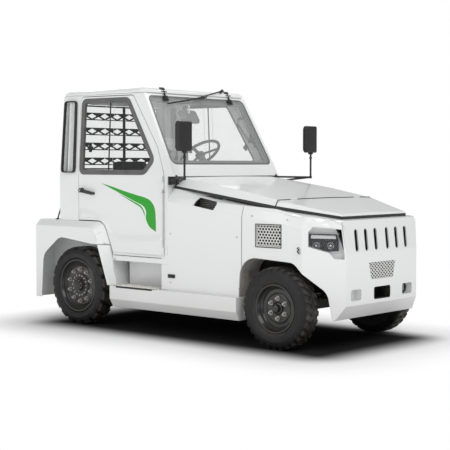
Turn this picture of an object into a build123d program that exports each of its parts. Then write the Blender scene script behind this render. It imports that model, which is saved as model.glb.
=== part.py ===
from build123d import *
import os
from math import atan2, cos, hypot, pi, radians, sin, tan

# Airport baggage tug: an electric tow tractor with a two-door cab.
# Millimetres. X forward, Y to the left, Z up, origin on the ground
# under the middle of the whole vehicle.

# Overall widths: the fenders are the widest part, the panels stand inside them
body_half_width = 785
panel_inset = 60
panel_half_width = body_half_width - panel_inset
seat_gap = 0.3

# Running gear
front_axle_x = 1278
wheelbase = 2400
rear_axle_x = front_axle_x - wheelbase
front_tyre_od = 676
front_tyre_width = 190
front_rim_od = 380
rear_tyre_od = 732
rear_tyre_width = 200
rear_rim_od = 470
front_wheel_inset = 105
rear_wheel_inset = 115
front_wheel_y = body_half_width - front_wheel_inset
rear_wheel_y = body_half_width - rear_wheel_inset
tyre_crown = 22
front_lug_depth = 9
rear_lug_depth = 14
lug_slant = 14
scrub_radius = 140
kingpin_y = front_wheel_y - scrub_radius
kingpin_radius = 17
kingpin_boss_radius = 36
knuckle_height = 92
spindle_radius = 32
spindle_reach = 55
bearing_clearance = 0.5
wheel_clearance = 7
steering_arm = 180
arm_thickness = 26
tie_rod_radius = 14
tie_pin_radius = 9
tie_pin_clearance = 0.5
axle_beam_height = 90
axle_tube_radius = 62
differential_radius = 145

# Front body
plate = 8
sill_bottom = 202
sill_chamfer_z = 279
sill_top = 400
sill_rear_x = -650
sill_front_x = 885
sill_width = 185
sill_inner_y = body_half_width - sill_width
nose_x = 1810
nose_upper_x = 1780
nose_low_x = 1737
nose_bottom = 258
nose_fold_low = 373
nose_fold_high = 790
corner_x = 1530
facet_slope = 0.75
bay_rear_x = 38
panel_seam_x = 895
bonnet_seam_x = 1227
seam_gap = 6
hood_gap = 6
hood_plate = 6
hood_overhang = 8
lip_x = 1732
lip_lean = 0.82
seal_height = 24
seal_width = 14
flange_width = 26

# Rear body and fenders
fender_rear_x = -1692
fender_bottom = 226
deck_z = 978
fender_chamfer = 58
post_top = 768
fender_width = 240
wheelhouse_inner_y = body_half_width - fender_width
deck_plate = 10

# Cab
cab_rear_x = -1400
cab_rear_top_x = -1370
cab_front_x = bay_rear_x
cab_wall = 45
cab_floor_z = 671
cab_rail = 45
waist_z = 1412
tumblehome = 2.9
roof_z = 2152
roof_rim = 24
roof_crown = 39
screen_foot_x = 68
screen_foot_z = 1503
screen_head_x = -290
screen_head_drop = 2
screen_head_z = roof_z - screen_head_drop
cowl_x = 118
cowl_top = 1400
door_front_x = -10
door_gap = 6
glass = 6
glazing_gap = 0.3
step_depth = 210
floor_half = panel_half_width - 61

# Chassis
rail_y = 290
rail_width = 80
rail_bottom = 440
rail_height = 120
rail_front_x = 1660
rail_rear_x = -1640
cross_size = 90


def side_plane(y):
    """Sketch plane in side view: local x is X, local y is Z, normal is -Y."""
    return Plane(origin=(0, y, 0), x_dir=(1, 0, 0), z_dir=(0, -1, 0))


def rounded_loop(rows):
    """Closed outline through rows of x, z and corner radius."""
    FilletPolyline(
        *[(x, z) for x, z, radius in rows],
        radius=[radius for x, z, radius in rows],
        close=True,
    )


def rounded_arch(rows):
    """Outline from the first row to the last, rounded between, closed below."""
    FilletPolyline(
        *[(x, z) for x, z, radius in rows],
        radius=[radius for x, z, radius in rows[1:-1]],
    )
    Line(rows[-1][:2], rows[0][:2])


def arch_cutter(rows, side, depth):
    """Solid that cuts a wheel arch through one flank, to a depth inside it."""
    with BuildPart() as cutter:
        with BuildSketch(side_plane(side * (body_half_width + 1))):
            with BuildLine():
                rounded_arch(rows)
            make_face()
        extrude(amount=depth, dir=(0, -side, 0))
    return cutter.part


def diamond_grid(width, height, pitch_x, pitch_z, hole_x, hole_z):
    """Rows of diamond holes, every other row shifted by half a pitch."""
    centres = []
    row_count = int(height / pitch_z)
    for row in range(row_count):
        shift = pitch_x / 2 * (row % 2)
        column_count = int((width - shift * 2) / pitch_x)
        for column in range(column_count):
            centres.append((
                (column - (column_count - 1) / 2) * pitch_x,
                (row - (row_count - 1) / 2) * pitch_z,
            ))
    with Locations(*centres):
        Polygon((hole_x / 2, 0), (0, hole_z / 2), (-hole_x / 2, 0), (0, -hole_z / 2))


def save(node, name):
    node.label = name
    export_step(node, f"parts/{name}.step")


os.makedirs("parts", exist_ok=True)

# Seat of the bonnet seal on the body: rows of x, inset from the panels, height
seal_rows = (
    (bay_rear_x, 89, 1296),
    (bonnet_seam_x, 45, 1143),
    (lip_x, 263, 1064),
)


def seal_seat(x):
    """Half width and height of the seal's seat at x."""
    (x0, in0, z0), (x1, in1, z1) = seal_rows[:2] if x <= bonnet_seam_x else seal_rows[1:]
    share = (x - x0) / (x1 - x0)
    return panel_half_width - in0 - share * (in1 - in0), z0 + share * (z1 - z0)


# Sections of the front body: x, shoulder height, then inset and height of the
# upper fold. The half width follows from the corner facets.
body_rows = (
    (bay_rear_x, 1181, 77, 1296),
    (bonnet_seam_x, 1037, 33, 1143),
    (corner_x, 1000, 43, 1077),
    (corner_x + 60, 1062, 46, 1064),
    (lip_x, 1059, 152.5, 1061),
    (nose_x, 1056, 211, 1058),
)
facet_run = hypot(1, facet_slope)
body_base = 150


def body_solid(wall):
    """Front body as a closed block, or its inside when a wall is given."""
    side_wall = wall * facet_run
    with BuildPart() as body:
        for x, shoulder_z, fold_inset, fold_z in body_rows:
            half = panel_half_width - max(0, facet_slope * (x - corner_x))
            half -= wall if x <= corner_x else side_wall
            fold_y = panel_half_width - fold_inset - side_wall
            land_y, land_z = seal_seat(x)
            right = [
                (half, body_base - wall),
                (half, shoulder_z - wall / 2),
                (fold_y, fold_z - wall),
                (land_y - wall, land_z - wall),
            ]
            left = [(-y, z) for y, z in reversed(right)]
            back = 2 * wall if x == bay_rear_x else 0
            with BuildSketch(Plane.YZ.offset(x - back)):
                Polygon(*right, *left, align=None)
        loft(ruled=True)
        with BuildSketch(side_plane(body_half_width)):
            Polygon(
                (bay_rear_x - 100, 50),
                (nose_low_x - 132, 50),
                (nose_low_x, nose_bottom),
                (nose_x, nose_fold_low),
                (nose_x, nose_fold_high),
                (nose_upper_x, 1056),
                (nose_upper_x, 1500),
                (bay_rear_x - 100, 1500),
                align=None,
            )
            if wall:
                offset(amount=-wall, kind=Kind.INTERSECTION)
        extrude(amount=2 * body_half_width, mode=Mode.INTERSECT)
    return body.part


# Wheel arch outline of the front body, seen from the side
front_arch = [
    (851, 100, 0),
    (880, 742, 170),
    (1440, 715, 110),
    (1690, 480, 140),
    (1744, 100, 0),
]
arch_depth = 345

# Front body shell: bent plate, open to the rear, below and over the bay
with BuildPart() as body_shell:
    add(body_solid(0))
    add(body_solid(plate), mode=Mode.SUBTRACT)
    with BuildSketch(Plane.XY.offset(900)):
        bay_edge = [(x, seal_seat(x)[0] - flange_width) for x in (bay_rear_x - 20, bonnet_seam_x, lip_x - 40)]
        Polygon(*bay_edge, *[(x, -y) for x, y in reversed(bay_edge)], align=None)
    extrude(amount=600, mode=Mode.SUBTRACT)
    for side in (-1, 1):
        add(arch_cutter(front_arch, side, arch_depth), mode=Mode.SUBTRACT)

# Side panels: bent plate behind the seam, with a vent in the shoulder
vent_rear_x, vent_front_x, vent_low, vent_high = 343, 602, 1150, 1222
vent_corner = 26
vent_drop = 34
for side, name in ((-1, "side_panel_right"), (1, "side_panel_left")):
    with BuildPart() as panel:
        add(body_shell.part)
        with BuildSketch(Plane.XY.offset(sill_top)):
            with Locations(((bay_rear_x + panel_seam_x - seam_gap / 2) / 2, side * body_half_width / 2)):
                Rectangle(panel_seam_x - seam_gap / 2 - bay_rear_x, body_half_width)
        extrude(amount=1100, mode=Mode.INTERSECT)
        with BuildSketch(side_plane(side * body_half_width)):
            Polygon(
                (vent_rear_x, vent_low + 10),
                (vent_rear_x + vent_corner, vent_high),
                (vent_front_x - vent_corner / 2, vent_high - vent_drop),
                (vent_front_x, vent_high - vent_drop - 20),
                (vent_front_x - vent_corner, vent_low - vent_drop),
                (vent_rear_x + 6, vent_low),
                align=None,
            )
        extrude(amount=150, dir=(0, -side, 0), mode=Mode.SUBTRACT)
    save(panel.part, name)

# Nose and front quarters in one piece: lamp recesses, slots, grille and holes
side_grille_x, side_grille_z = (1052 + 1314) / 2, (831 + 1015) / 2
side_grille_width, side_grille_height = 262, 184
facet_cos = 1 / facet_run
facet_sin = facet_slope / facet_run
# recess outline on the facet: distance along it from the corner, and height
lamp_recess = [
    (85, 1009), (48, 969), (48, 850), (171, 814), (217, 802), (256, 756),
    (335, 750), (335, 790), (311, 988),
]
slot_y = (83, 220, 356)
slot_width, slot_low, slot_high = 46, 806, 985
nose_grille = ((195, 706), (158, 569))
bumper_hole_y, bumper_hole_z, bumper_hole_size = 372, 455, (146, 89)
tow_hole_half, tow_hole_low, tow_hole_high = 121, 401, 502
hole_radius = 20


def facet_plane(side, set_back=0):
    """Plane on a front corner facet: local x runs along it to the nose."""
    x_dir = (facet_cos, -side * facet_sin, 0)
    z_dir = (facet_sin, side * facet_cos, 0)
    origin = (
        corner_x - set_back * z_dir[0],
        side * panel_half_width - set_back * side * facet_cos,
        0,
    )
    return Plane(origin=origin, x_dir=x_dir, z_dir=z_dir)


def on_facet(side, points):
    """Points along and up a facet, in the facet plane's own directions."""
    return [(s, -side * z) for s, z in points]


with BuildPart() as nose:
    add(body_shell.part)
    with BuildSketch(Plane.XY.offset(nose_bottom)):
        with Locations(((panel_seam_x + seam_gap / 2 + nose_x) / 2, 0)):
            Rectangle(nose_x - panel_seam_x - seam_gap / 2, 2 * body_half_width)
    extrude(amount=1100, mode=Mode.INTERSECT)
    for side in (-1, 1):
        with BuildSketch(facet_plane(side)):
            Polygon(*on_facet(side, lamp_recess), align=None)
        extrude(amount=30, both=True, mode=Mode.SUBTRACT)
    with BuildSketch(Plane.YZ.offset(nose_x)):
        for y in slot_y:
            with Locations((y, (slot_low + slot_high) / 2), (-y, (slot_low + slot_high) / 2)):
                SlotOverall(slot_high - slot_low, slot_width, rotation=90)
        Polygon(*nose_grille, *[(-y, z) for y, z in reversed(nose_grille)], align=None)
        with Locations((bumper_hole_y, bumper_hole_z), (-bumper_hole_y, bumper_hole_z)):
            RectangleRounded(*bumper_hole_size, hole_radius)
        with Locations((0, (tow_hole_low + tow_hole_high) / 2)):
            RectangleRounded(2 * tow_hole_half, tow_hole_high - tow_hole_low, hole_radius)
    extrude(amount=-60, mode=Mode.SUBTRACT)
    with BuildSketch(Plane.XZ):
        with Locations((side_grille_x, side_grille_z)):
            RectangleRounded(side_grille_width, side_grille_height, hole_radius)
    extrude(amount=body_half_width, both=True, mode=Mode.SUBTRACT)
save(nose.part, "nose_fascia")

# Bonnet: rows of x, inset and height of the flank crease, rise of the crown
crease_rows = (
    (bay_rear_x + hood_gap, 107, 1392, 5),
    (cowl_x, 105, 1392, 5),
    (800, 80, 1292, 10),
    (bonnet_seam_x, 70, 1213, 6),
    (lip_x, 273, 1102, 3),
)
flank_reach = 1.8
lip_tip_z = seal_seat(lip_x)[1] + seal_height


def hood_solid(wall):
    """Hood block: crowned top, leaning flanks, sloping lip."""
    reach = flank_reach if wall else 1
    with BuildPart() as hood:
        for x, crease_inset, crease_z, crown in crease_rows:
            seat_y, seat_z = seal_seat(x)
            crease_y = panel_half_width - crease_inset - wall
            top_z = crease_z - wall
            foot_y = crease_y + reach * (seat_y + hood_overhang - panel_half_width + crease_inset)
            foot_z = top_z + reach * (seat_z + seal_height + seat_gap - crease_z)
            with BuildSketch(Plane.YZ.offset(x)):
                with BuildLine():
                    Polyline((crease_y, top_z), (foot_y, foot_z), (-foot_y, foot_z), (-crease_y, top_z))
                    ThreePointArc((-crease_y, top_z), (0, top_z + crown), (crease_y, top_z))
                make_face()
        loft(ruled=True)
        lip = Plane(origin=(lip_x - wall * 1.3, 0, lip_tip_z), z_dir=(1, 0, lip_lean))
        split(bisect_by=lip, keep=Keep.BOTTOM)
    return hood.part


hinge_pin_radius = 7
hinge_axis_z = 1218
hinge_y = 450
hinge_length = 36
hinge_ear = 24
hinge_clearance = 2
hood_outer = hood_solid(0)
hood_inner = hood_solid(hood_plate)


def hinge_barrels(rows):
    """Round barrels on the lid's hinge axis: rows of centre y and length."""
    with BuildPart() as barrels:
        for y, length in rows:
            with BuildSketch(Plane.XZ.offset(-y - length / 2)):
                with Locations((bonnet_seam_x, hinge_axis_z)):
                    Circle(hinge_pin_radius)
            extrude(amount=length)
    return barrels.part


def hinge_notches(rows):
    """Room cut in the skins round such barrels."""
    with BuildPart() as notches:
        with BuildSketch(Plane.XY.offset(hinge_axis_z - 40)):
            for y, length in rows:
                with Locations((bonnet_seam_x, y)):
                    Rectangle(
                        2 * (hinge_pin_radius + hinge_clearance),
                        length + 2 * hinge_clearance,
                    )
        extrude(amount=80)
    return notches.part


ear_offset = (hinge_length + hinge_ear) / 2 + hinge_clearance / 2
lid_barrels = [(side * hinge_y, hinge_length) for side in (-1, 1)]
cowl_barrels = [
    (side * hinge_y + shift, hinge_ear)
    for side in (-1, 1)
    for shift in (-ear_offset, ear_offset)
]
bonnet_parts = (
    ("bonnet_cowl", bay_rear_x, bonnet_seam_x - seam_gap / 2, cowl_barrels, lid_barrels),
    ("bonnet_lid", bonnet_seam_x + seam_gap / 2, nose_x, lid_barrels, cowl_barrels),
)
for name, x0, x1, own_barrels, other_barrels in bonnet_parts:
    with BuildPart() as hood:
        add(hood_outer)
        add(hood_inner, mode=Mode.SUBTRACT)
        with BuildSketch(Plane.XY.offset(900)):
            with Locations(((x0 + x1) / 2, 0)):
                Rectangle(x1 - x0, 2 * body_half_width)
        extrude(amount=700, mode=Mode.INTERSECT)
        add(hinge_notches(other_barrels), mode=Mode.SUBTRACT)
        add(hinge_barrels(own_barrels))
    save(hood.part, name)

# Bonnet seal: one rubber strip round the bay, under the edge of the bonnet
seal_lip = 3


def seal_block(narrower, taller):
    with BuildPart() as block:
        for x in (bay_rear_x + hood_gap, bonnet_seam_x, lip_x - seal_lip - narrower):
            seat_y, seat_z = seal_seat(x)
            half = seat_y + hood_overhang - seal_lip - narrower
            with BuildSketch(Plane.YZ.offset(x)):
                Polygon(
                    (half, seat_z - taller),
                    (half, seat_z + seal_height + taller),
                    (-half, seat_z + seal_height + taller),
                    (-half, seat_z - taller),
                    align=None,
                )
        loft(ruled=True)
    return block.part


with BuildPart() as seal:
    add(seal_block(0, 0))
    add(seal_block(seal_width, 5), mode=Mode.SUBTRACT)
save(seal.part, "bonnet_seal")

# Chassis frame: two box rails joined by cross members, with sill outriggers
# and a bent mudguard over each front wheel, short in front of the steered tyre
cross_x = (-1595, -700, 0, 880, 1610)
outrigger_x = (-620, -30, 600)
outrigger_width = 60
outrigger_bottom = 330
guard_plate = 5
guard_width = 240
guard_low = 560
guard_rise = 14
tyre_swing = hypot(front_tyre_od / 2, front_wheel_y + front_tyre_width / 2 - kingpin_y) + wheel_clearance
with BuildPart() as frame:
    with BuildSketch(Plane.XY.offset(rail_bottom)):
        for y in (-rail_y, rail_y):
            with Locations(((rail_front_x + rail_rear_x) / 2, y)):
                Rectangle(rail_front_x - rail_rear_x, rail_width)
        for x in cross_x:
            with Locations((x, 0)):
                Rectangle(cross_size, 2 * rail_y)
    extrude(amount=rail_height)
    with BuildSketch(Plane.XY.offset(outrigger_bottom)):
        for x in outrigger_x:
            with Locations((x, 0)):
                Rectangle(outrigger_width, 2 * sill_inner_y)
    extrude(amount=sill_top - outrigger_bottom)
    with BuildSketch(Plane.XY.offset(outrigger_bottom)):
        for x in outrigger_x:
            with Locations((x, 0)):
                Rectangle(outrigger_width, 2 * (wheelhouse_inner_y - 5))
    extrude(amount=rail_bottom - outrigger_bottom)
with BuildPart() as mudguards:
    for side in (-1, 1):
        with BuildSketch(side_plane(side * (panel_half_width - plate - seat_gap))):
            with BuildLine():
                rounded_arch(front_arch)
            make_face()
            offset(amount=guard_plate)
            with BuildLine():
                rounded_arch(front_arch)
            make_face(mode=Mode.SUBTRACT)
        extrude(amount=guard_width, dir=(0, -side, 0))
    split(bisect_by=Plane.XY.offset(guard_low), keep=Keep.TOP)
    add(body_solid(plate + seat_gap), mode=Mode.INTERSECT)
    with BuildSketch(Plane.XY.offset(guard_low - 10)):
        with Locations((front_axle_x + tyre_swing, 0)):
            Rectangle(2 * tyre_swing, 2 * body_half_width)
    extrude(amount=front_tyre_od + guard_rise - guard_low + 10, mode=Mode.SUBTRACT)
with BuildPart() as chassis:
    add(frame.part)
    add(mudguards.part)
save(chassis.part, "chassis_frame")

# Sills: folded boxes along both sides, their tops are the steps; the inner
# front corner is cut back to clear the steered tyre
sill_chamfer = 45
with BuildPart() as sills:
    with BuildSketch(Plane.YZ.offset(sill_rear_x)):
        for side in (-1, 1):
            Polygon(
                (side * body_half_width, sill_chamfer_z),
                (side * body_half_width, sill_top),
                (side * sill_inner_y, sill_top),
                (side * sill_inner_y, sill_bottom),
                (side * (body_half_width - sill_chamfer), sill_bottom),
                align=None,
            )
    extrude(amount=sill_front_x - sill_rear_x)
    with BuildSketch(Plane.XY.offset(sill_bottom - 10)):
        for side in (-1, 1):
            with Locations((front_axle_x, side * kingpin_y)):
                Circle(tyre_swing)
    extrude(amount=sill_top - sill_bottom + 20, mode=Mode.SUBTRACT)
save(sills.part, "sills")

# Front axle: a beam with a kingpin fork at each end, bolted under the rails
fork_z = front_tyre_od / 2
fork_half = knuckle_height / 2 + 1
fork_plate = 22
fork_reach = 100
with BuildPart() as front_axle:
    with BuildSketch(Plane.XZ.offset(-kingpin_y + fork_reach + 10)):
        with Locations((front_axle_x, fork_z)):
            RectangleRounded(110, axle_beam_height, 14)
    extrude(amount=2 * (kingpin_y - fork_reach - 10))
    for side in (-1, 1):
        with BuildSketch(side_plane(side * (kingpin_y - fork_reach))):
            with Locations((front_axle_x, fork_z)):
                RectangleRounded(96, 2 * (fork_half + fork_plate), 14)
        extrude(amount=18, both=True)
        for low in (fork_z - fork_half - fork_plate, fork_z + fork_half):
            with BuildSketch(Plane.XY.offset(low)):
                with BuildLine():
                    root_y = side * (kingpin_y - fork_reach)
                    tip_y = side * (kingpin_y + kingpin_boss_radius)
                    FilletPolyline(
                        (front_axle_x - 44, root_y),
                        (front_axle_x - kingpin_boss_radius, tip_y),
                        (front_axle_x + kingpin_boss_radius, tip_y),
                        (front_axle_x + 44, root_y),
                        radius=30,
                    )
                    Line((front_axle_x + 44, root_y), (front_axle_x - 44, root_y))
                make_face()
            extrude(amount=fork_plate)
        with BuildSketch(Plane.XY.offset(fork_z - fork_half)):
            with Locations((front_axle_x, side * kingpin_y)):
                Circle(kingpin_radius)
        extrude(amount=2 * fork_half)
    with BuildSketch(Plane.XY.offset(fork_z + axle_beam_height / 2)):
        for y in (-rail_y, rail_y):
            with Locations((front_axle_x, y)):
                Rectangle(100, 70)
    extrude(amount=rail_bottom - fork_z - axle_beam_height / 2)
save(front_axle.part, "front_axle")

# Knuckles: barrel on the kingpin, wheel spindle, steering arm and rod pin
for side, name in ((-1, "knuckle_right"), (1, "knuckle_left")):
    with BuildPart() as knuckle:
        with BuildSketch(Plane.XY.offset(fork_z - knuckle_height / 2)):
            with Locations((front_axle_x, side * kingpin_y)):
                Circle(kingpin_boss_radius)
        extrude(amount=knuckle_height)
        with BuildSketch(side_plane(side * kingpin_y)):
            with Locations((front_axle_x, fork_z)):
                Circle(spindle_radius)
        extrude(amount=front_wheel_y + spindle_reach - kingpin_y, dir=(0, side, 0))
        with BuildSketch(Plane.XY.offset(fork_z - arm_thickness / 2)):
            with Locations((front_axle_x - steering_arm / 2, side * kingpin_y)):
                SlotCenterToCenter(steering_arm, 44)
        extrude(amount=arm_thickness)
        with BuildSketch(Plane.XY.offset(fork_z - arm_thickness / 2 - 40)):
            with Locations((front_axle_x - steering_arm, side * kingpin_y)):
                Circle(tie_pin_radius)
        extrude(amount=40)
        with BuildSketch(Plane.XY.offset(fork_z - knuckle_height)):
            with Locations((front_axle_x, side * kingpin_y)):
                Circle(kingpin_radius + bearing_clearance)
        extrude(amount=2 * knuckle_height, mode=Mode.SUBTRACT)
    save(knuckle.part, name)

# Tie rod: an eye at each end round the pins of the steering arms
eye_radius = 22
eye_height = 30
rod_z = fork_z - arm_thickness / 2 - eye_radius
with BuildPart() as tie_rod:
    with BuildSketch(Plane.XZ.offset(-kingpin_y + 10)):
        with Locations((front_axle_x - steering_arm, rod_z)):
            Circle(tie_rod_radius)
    extrude(amount=2 * (kingpin_y - 10))
    with BuildSketch(Plane.XY.offset(rod_z - eye_height / 2)):
        for y in (-kingpin_y, kingpin_y):
            with Locations((front_axle_x - steering_arm, y)):
                Circle(eye_radius)
    extrude(amount=eye_height)
    with BuildSketch(Plane.XY.offset(rod_z - eye_height)):
        for y in (-kingpin_y, kingpin_y):
            with Locations((front_axle_x - steering_arm, y)):
                Circle(tie_pin_radius + tie_pin_clearance)
    extrude(amount=2 * eye_height, mode=Mode.SUBTRACT)
save(tie_rod.part, "tie_rod")

# Rear axle: tube with the differential housing, and a spindle each side
rear_hub_z = rear_tyre_od / 2
tube_end_y = rear_wheel_y - 130
with BuildPart() as rear_axle:
    with BuildSketch(Plane.XZ.offset(-tube_end_y)):
        with Locations((rear_axle_x, rear_hub_z)):
            Circle(axle_tube_radius)
    extrude(amount=2 * tube_end_y)
    with BuildSketch(Plane.XZ.offset(-rear_wheel_y - spindle_reach)):
        with Locations((rear_axle_x, rear_hub_z)):
            Circle(spindle_radius)
    extrude(amount=2 * (rear_wheel_y + spindle_reach))
    with BuildSketch(Plane.XY.offset(rear_hub_z)):
        with Locations((rear_axle_x, 0)):
            Circle(differential_radius)
    extrude(amount=75, both=True, taper=22)
    with BuildSketch(Plane.XY.offset(rear_hub_z)):
        for y in (-rail_y, rail_y):
            with Locations((rear_axle_x, y)):
                Rectangle(150, rail_width)
    extrude(amount=rail_bottom - rear_hub_z)
save(rear_axle.part, "rear_axle")

# Battery: one heavy block on the rails under the cowl
battery_rear_x, battery_front_x = 100, 850
battery_half, battery_height = 560, 500
with BuildPart() as battery:
    with BuildSketch(Plane.XY.offset(rail_bottom + rail_height)):
        with Locations(((battery_rear_x + battery_front_x) / 2, 0)):
            RectangleRounded(battery_front_x - battery_rear_x, 2 * battery_half, 20)
    extrude(amount=battery_height)
save(battery.part, "battery_block")

# Wheels: sizes of tyre diameter and width, rim diameter, lug depth and the
# number of lugs in a row, then rows of corner, axle x, wheel middle y and sizes
front_sizes = (front_tyre_od, front_tyre_width, front_rim_od, front_lug_depth, 20)
rear_sizes = (rear_tyre_od, rear_tyre_width, rear_rim_od, rear_lug_depth, 16)
wheel_rows = (
    ("front_right", front_axle_x, -front_wheel_y, *front_sizes),
    ("front_left", front_axle_x, front_wheel_y, *front_sizes),
    ("rear_right", rear_axle_x, -rear_wheel_y, *rear_sizes),
    ("rear_left", rear_axle_x, rear_wheel_y, *rear_sizes),
)
rim_flange = 14
lug_share = 0.58
for corner, axle_x, wheel_y, od, width, rim_od, lug, lug_count in wheel_rows:
    side = 1 if wheel_y > 0 else -1
    hub_z = od / 2
    half = width / 2
    # local x is the radius, local y runs outward along the axle
    section = Plane(origin=(axle_x, wheel_y, hub_z), x_dir=(1, 0, 0), z_dir=(0, 0, side))
    spin = Axis((axle_x, wheel_y, hub_z), (0, 1, 0))
    tread_r = od / 2 - lug
    shoulder_r = tread_r - tyre_crown
    bead_r = rim_od / 2
    flange_r = bead_r + rim_flange
    bead_y = half * 0.76
    wall_r = (flange_r + shoulder_r) / 2
    with BuildPart() as tyre:
        with BuildSketch(section):
            with BuildLine():
                Polyline((flange_r, -bead_y), (bead_r, -bead_y), (bead_r, bead_y), (flange_r, bead_y))
                ThreePointArc((flange_r, bead_y), (wall_r, half), (shoulder_r, half * 0.9))
                ThreePointArc((shoulder_r, half * 0.9), (tread_r - 6, half * 0.8), (tread_r, half * 0.62))
                Line((tread_r, half * 0.62), (tread_r, -half * 0.62))
                ThreePointArc((tread_r, -half * 0.62), (tread_r - 6, -half * 0.8), (shoulder_r, -half * 0.9))
                ThreePointArc((shoulder_r, -half * 0.9), (wall_r, -half), (flange_r, -bead_y))
            make_face()
        revolve(axis=spin)
        lug_length = od * pi / lug_count * lug_share
        lug_width = half * 0.84
        lug_reach = lug_length / 2 * cos(radians(lug_slant)) + lug_width / 2 * sin(radians(lug_slant))
        lug_r = (od**2 / 4 - lug_reach**2) ** 0.5
        lug_planes = []
        for row in (-1, 1):
            for k in range(lug_count):
                turn = radians(360 * (k + row * 0.25) / lug_count)
                outward = Vector(cos(turn), 0, sin(turn))
                centre = Vector(axle_x, wheel_y + row * half * 0.47, hub_z) + outward * lug_r
                slant = radians(row * lug_slant)
                across = Vector(-sin(turn) * sin(slant), cos(slant), cos(turn) * sin(slant))
                lug_planes.append(Plane(origin=centre, x_dir=across, z_dir=outward))
        with BuildSketch(*lug_planes):
            Rectangle(lug_width, lug_length)
        extrude(amount=-(lug + 9))
    save(tyre.part, f"tyre_{corner}")
    hub_bore = spindle_radius + bearing_clearance
    barrel_r = bead_r - 18
    disc_r = bead_r * 0.62
    cap_y = spindle_reach + 5
    with BuildPart() as rim:
        with BuildSketch(section):
            with BuildLine():
                Polyline(
                    (bead_r, -bead_y),
                    (flange_r, -bead_y),
                    (flange_r, -half * 0.82),
                    (bead_r - 8, -half * 0.82),
                    (barrel_r, -half * 0.5),
                    (barrel_r, 10),
                    (disc_r, 34),
                    (bead_r * 0.52, 24),
                    (80, 24),
                    (80, 6),
                    (hub_bore, 6),
                    (hub_bore, cap_y),
                    (0, cap_y),
                    (0, cap_y + 32),
                    (50, cap_y + 32),
                    (62, cap_y + 20),
                    (62, 40),
                    (bead_r * 0.5, 40),
                    (disc_r, 50),
                    (barrel_r, 26),
                    (barrel_r, half * 0.5),
                    (bead_r - 8, half * 0.82),
                    (flange_r, half * 0.82),
                    (flange_r, bead_y),
                    (bead_r, bead_y),
                    close=True,
                )
            make_face()
        revolve(axis=spin)
    save(rim.part, f"rim_{corner}")

# Rear body: fender skins, wheel houses and the deck, welded from plate
rear_arch = [
    (-1620, 100, 0),
    (-1582, 640, 150),
    (-1342, 818, 150),
    (-828, 762, 12),
    (-679, 390, 0),
    (-560, 100, 0),
]
# Fender outlines: rows of x, z and radius at the cab side and at the outer face
fender_at_cab = [
    (fender_rear_x, fender_bottom, 0),
    (fender_rear_x, deck_z, 0),
    (-790, deck_z, 130),
    (-700, post_top, 0),
    (-1300, post_top, 0),
    (-1300, fender_bottom, 0),
]
fender_at_face = [
    (fender_rear_x, fender_bottom, 0),
    (fender_rear_x, deck_z - fender_chamfer, 0),
    (-868, deck_z - fender_chamfer, 95),
    (-816, post_top, 0),
    (-1300, post_top, 0),
    (-1300, fender_bottom, 0),
]


def fender_outline(rows, wall):
    """Face inside rows of x, z and corner radius, shrunk by a wall."""
    with BuildSketch() as outline:
        Polygon(*[(x, z) for x, z, radius in rows], align=None)
        if wall:
            offset(amount=-wall, kind=Kind.INTERSECTION)
        corners = outline.vertices()
        for x, z, radius in rows:
            if radius:
                fillet(corners.sort_by_distance((x, z, 0))[0], radius=radius - wall)
    return outline.sketch


def fender_solid(side, wall):
    """Fender block with its long bevel, shrunk by a plate thickness."""
    cab_y = side * (panel_half_width - wall / 2)
    face_y = side * (body_half_width - wall)
    inner_y = side * (wheelhouse_inner_y + wall)
    with BuildPart() as block:
        with BuildSketch(side_plane(cab_y)):
            add(fender_outline(fender_at_cab, wall))
        extrude(amount=abs(cab_y - inner_y), dir=(0, -side, 0))
        with BuildSketch(side_plane(cab_y)):
            add(fender_outline(fender_at_cab, wall))
        with BuildSketch(side_plane(face_y)):
            add(fender_outline(fender_at_face, wall))
        loft(ruled=True)
    return block.part


# Post between the fender and the sill: rows of x and z at both faces
post_at_cab = [(-816, post_top - 4), (-700, post_top - 4), (-612, sill_top), (-679, sill_top)]
post_at_face = [(-816, post_top - 4), (-804, post_top - 4), (-667, sill_top), (-679, sill_top)]
house_wall = [
    (-1560, 560), (-1560, deck_z), (-880, deck_z), (-705, 764), (-650, 430), (-700, 430), (-860, 560),
]
fender_open_front_x = -908
tail_low_z = 596
tail_front_x = -1380
with BuildPart() as rear_body:
    for side in (-1, 1):
        add(fender_solid(side, 0))
        add(fender_solid(side, deck_plate), mode=Mode.SUBTRACT)
        with BuildSketch(Plane.XY.offset(fender_bottom - 50)):
            with Locations((
                (fender_rear_x + fender_open_front_x) / 2,
                side * (wheelhouse_inner_y + body_half_width) / 2,
            )):
                Rectangle(
                    fender_open_front_x - fender_rear_x - 2 * deck_plate,
                    fender_width - 2 * deck_plate,
                )
        extrude(amount=400, mode=Mode.SUBTRACT)
        add(arch_cutter(rear_arch, side, fender_width + 3), mode=Mode.SUBTRACT)
        with BuildSketch(side_plane(side * panel_half_width)):
            Polygon(*post_at_cab, align=None)
        extrude(amount=panel_half_width - wheelhouse_inner_y, dir=(0, -side, 0))
        with BuildSketch(side_plane(side * panel_half_width)):
            Polygon(*post_at_cab, align=None)
        with BuildSketch(side_plane(side * body_half_width)):
            Polygon(*post_at_face, align=None)
        loft(ruled=True)
        with BuildSketch(side_plane(side * wheelhouse_inner_y)):
            Polygon(*house_wall, align=None)
        extrude(amount=deck_plate, dir=(0, side, 0))
    with BuildSketch(Plane.XZ.offset(-wheelhouse_inner_y)):
        Polygon(
            (fender_rear_x, tail_low_z),
            (fender_rear_x, deck_z),
            (tail_front_x, deck_z),
            (tail_front_x, tail_low_z),
            (tail_front_x - deck_plate, tail_low_z),
            (tail_front_x - deck_plate, deck_z - deck_plate),
            (fender_rear_x + deck_plate, deck_z - deck_plate),
            (fender_rear_x + deck_plate, tail_low_z),
            align=None,
        )
    extrude(amount=2 * wheelhouse_inner_y)
save(rear_body.part, "rear_body")

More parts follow.
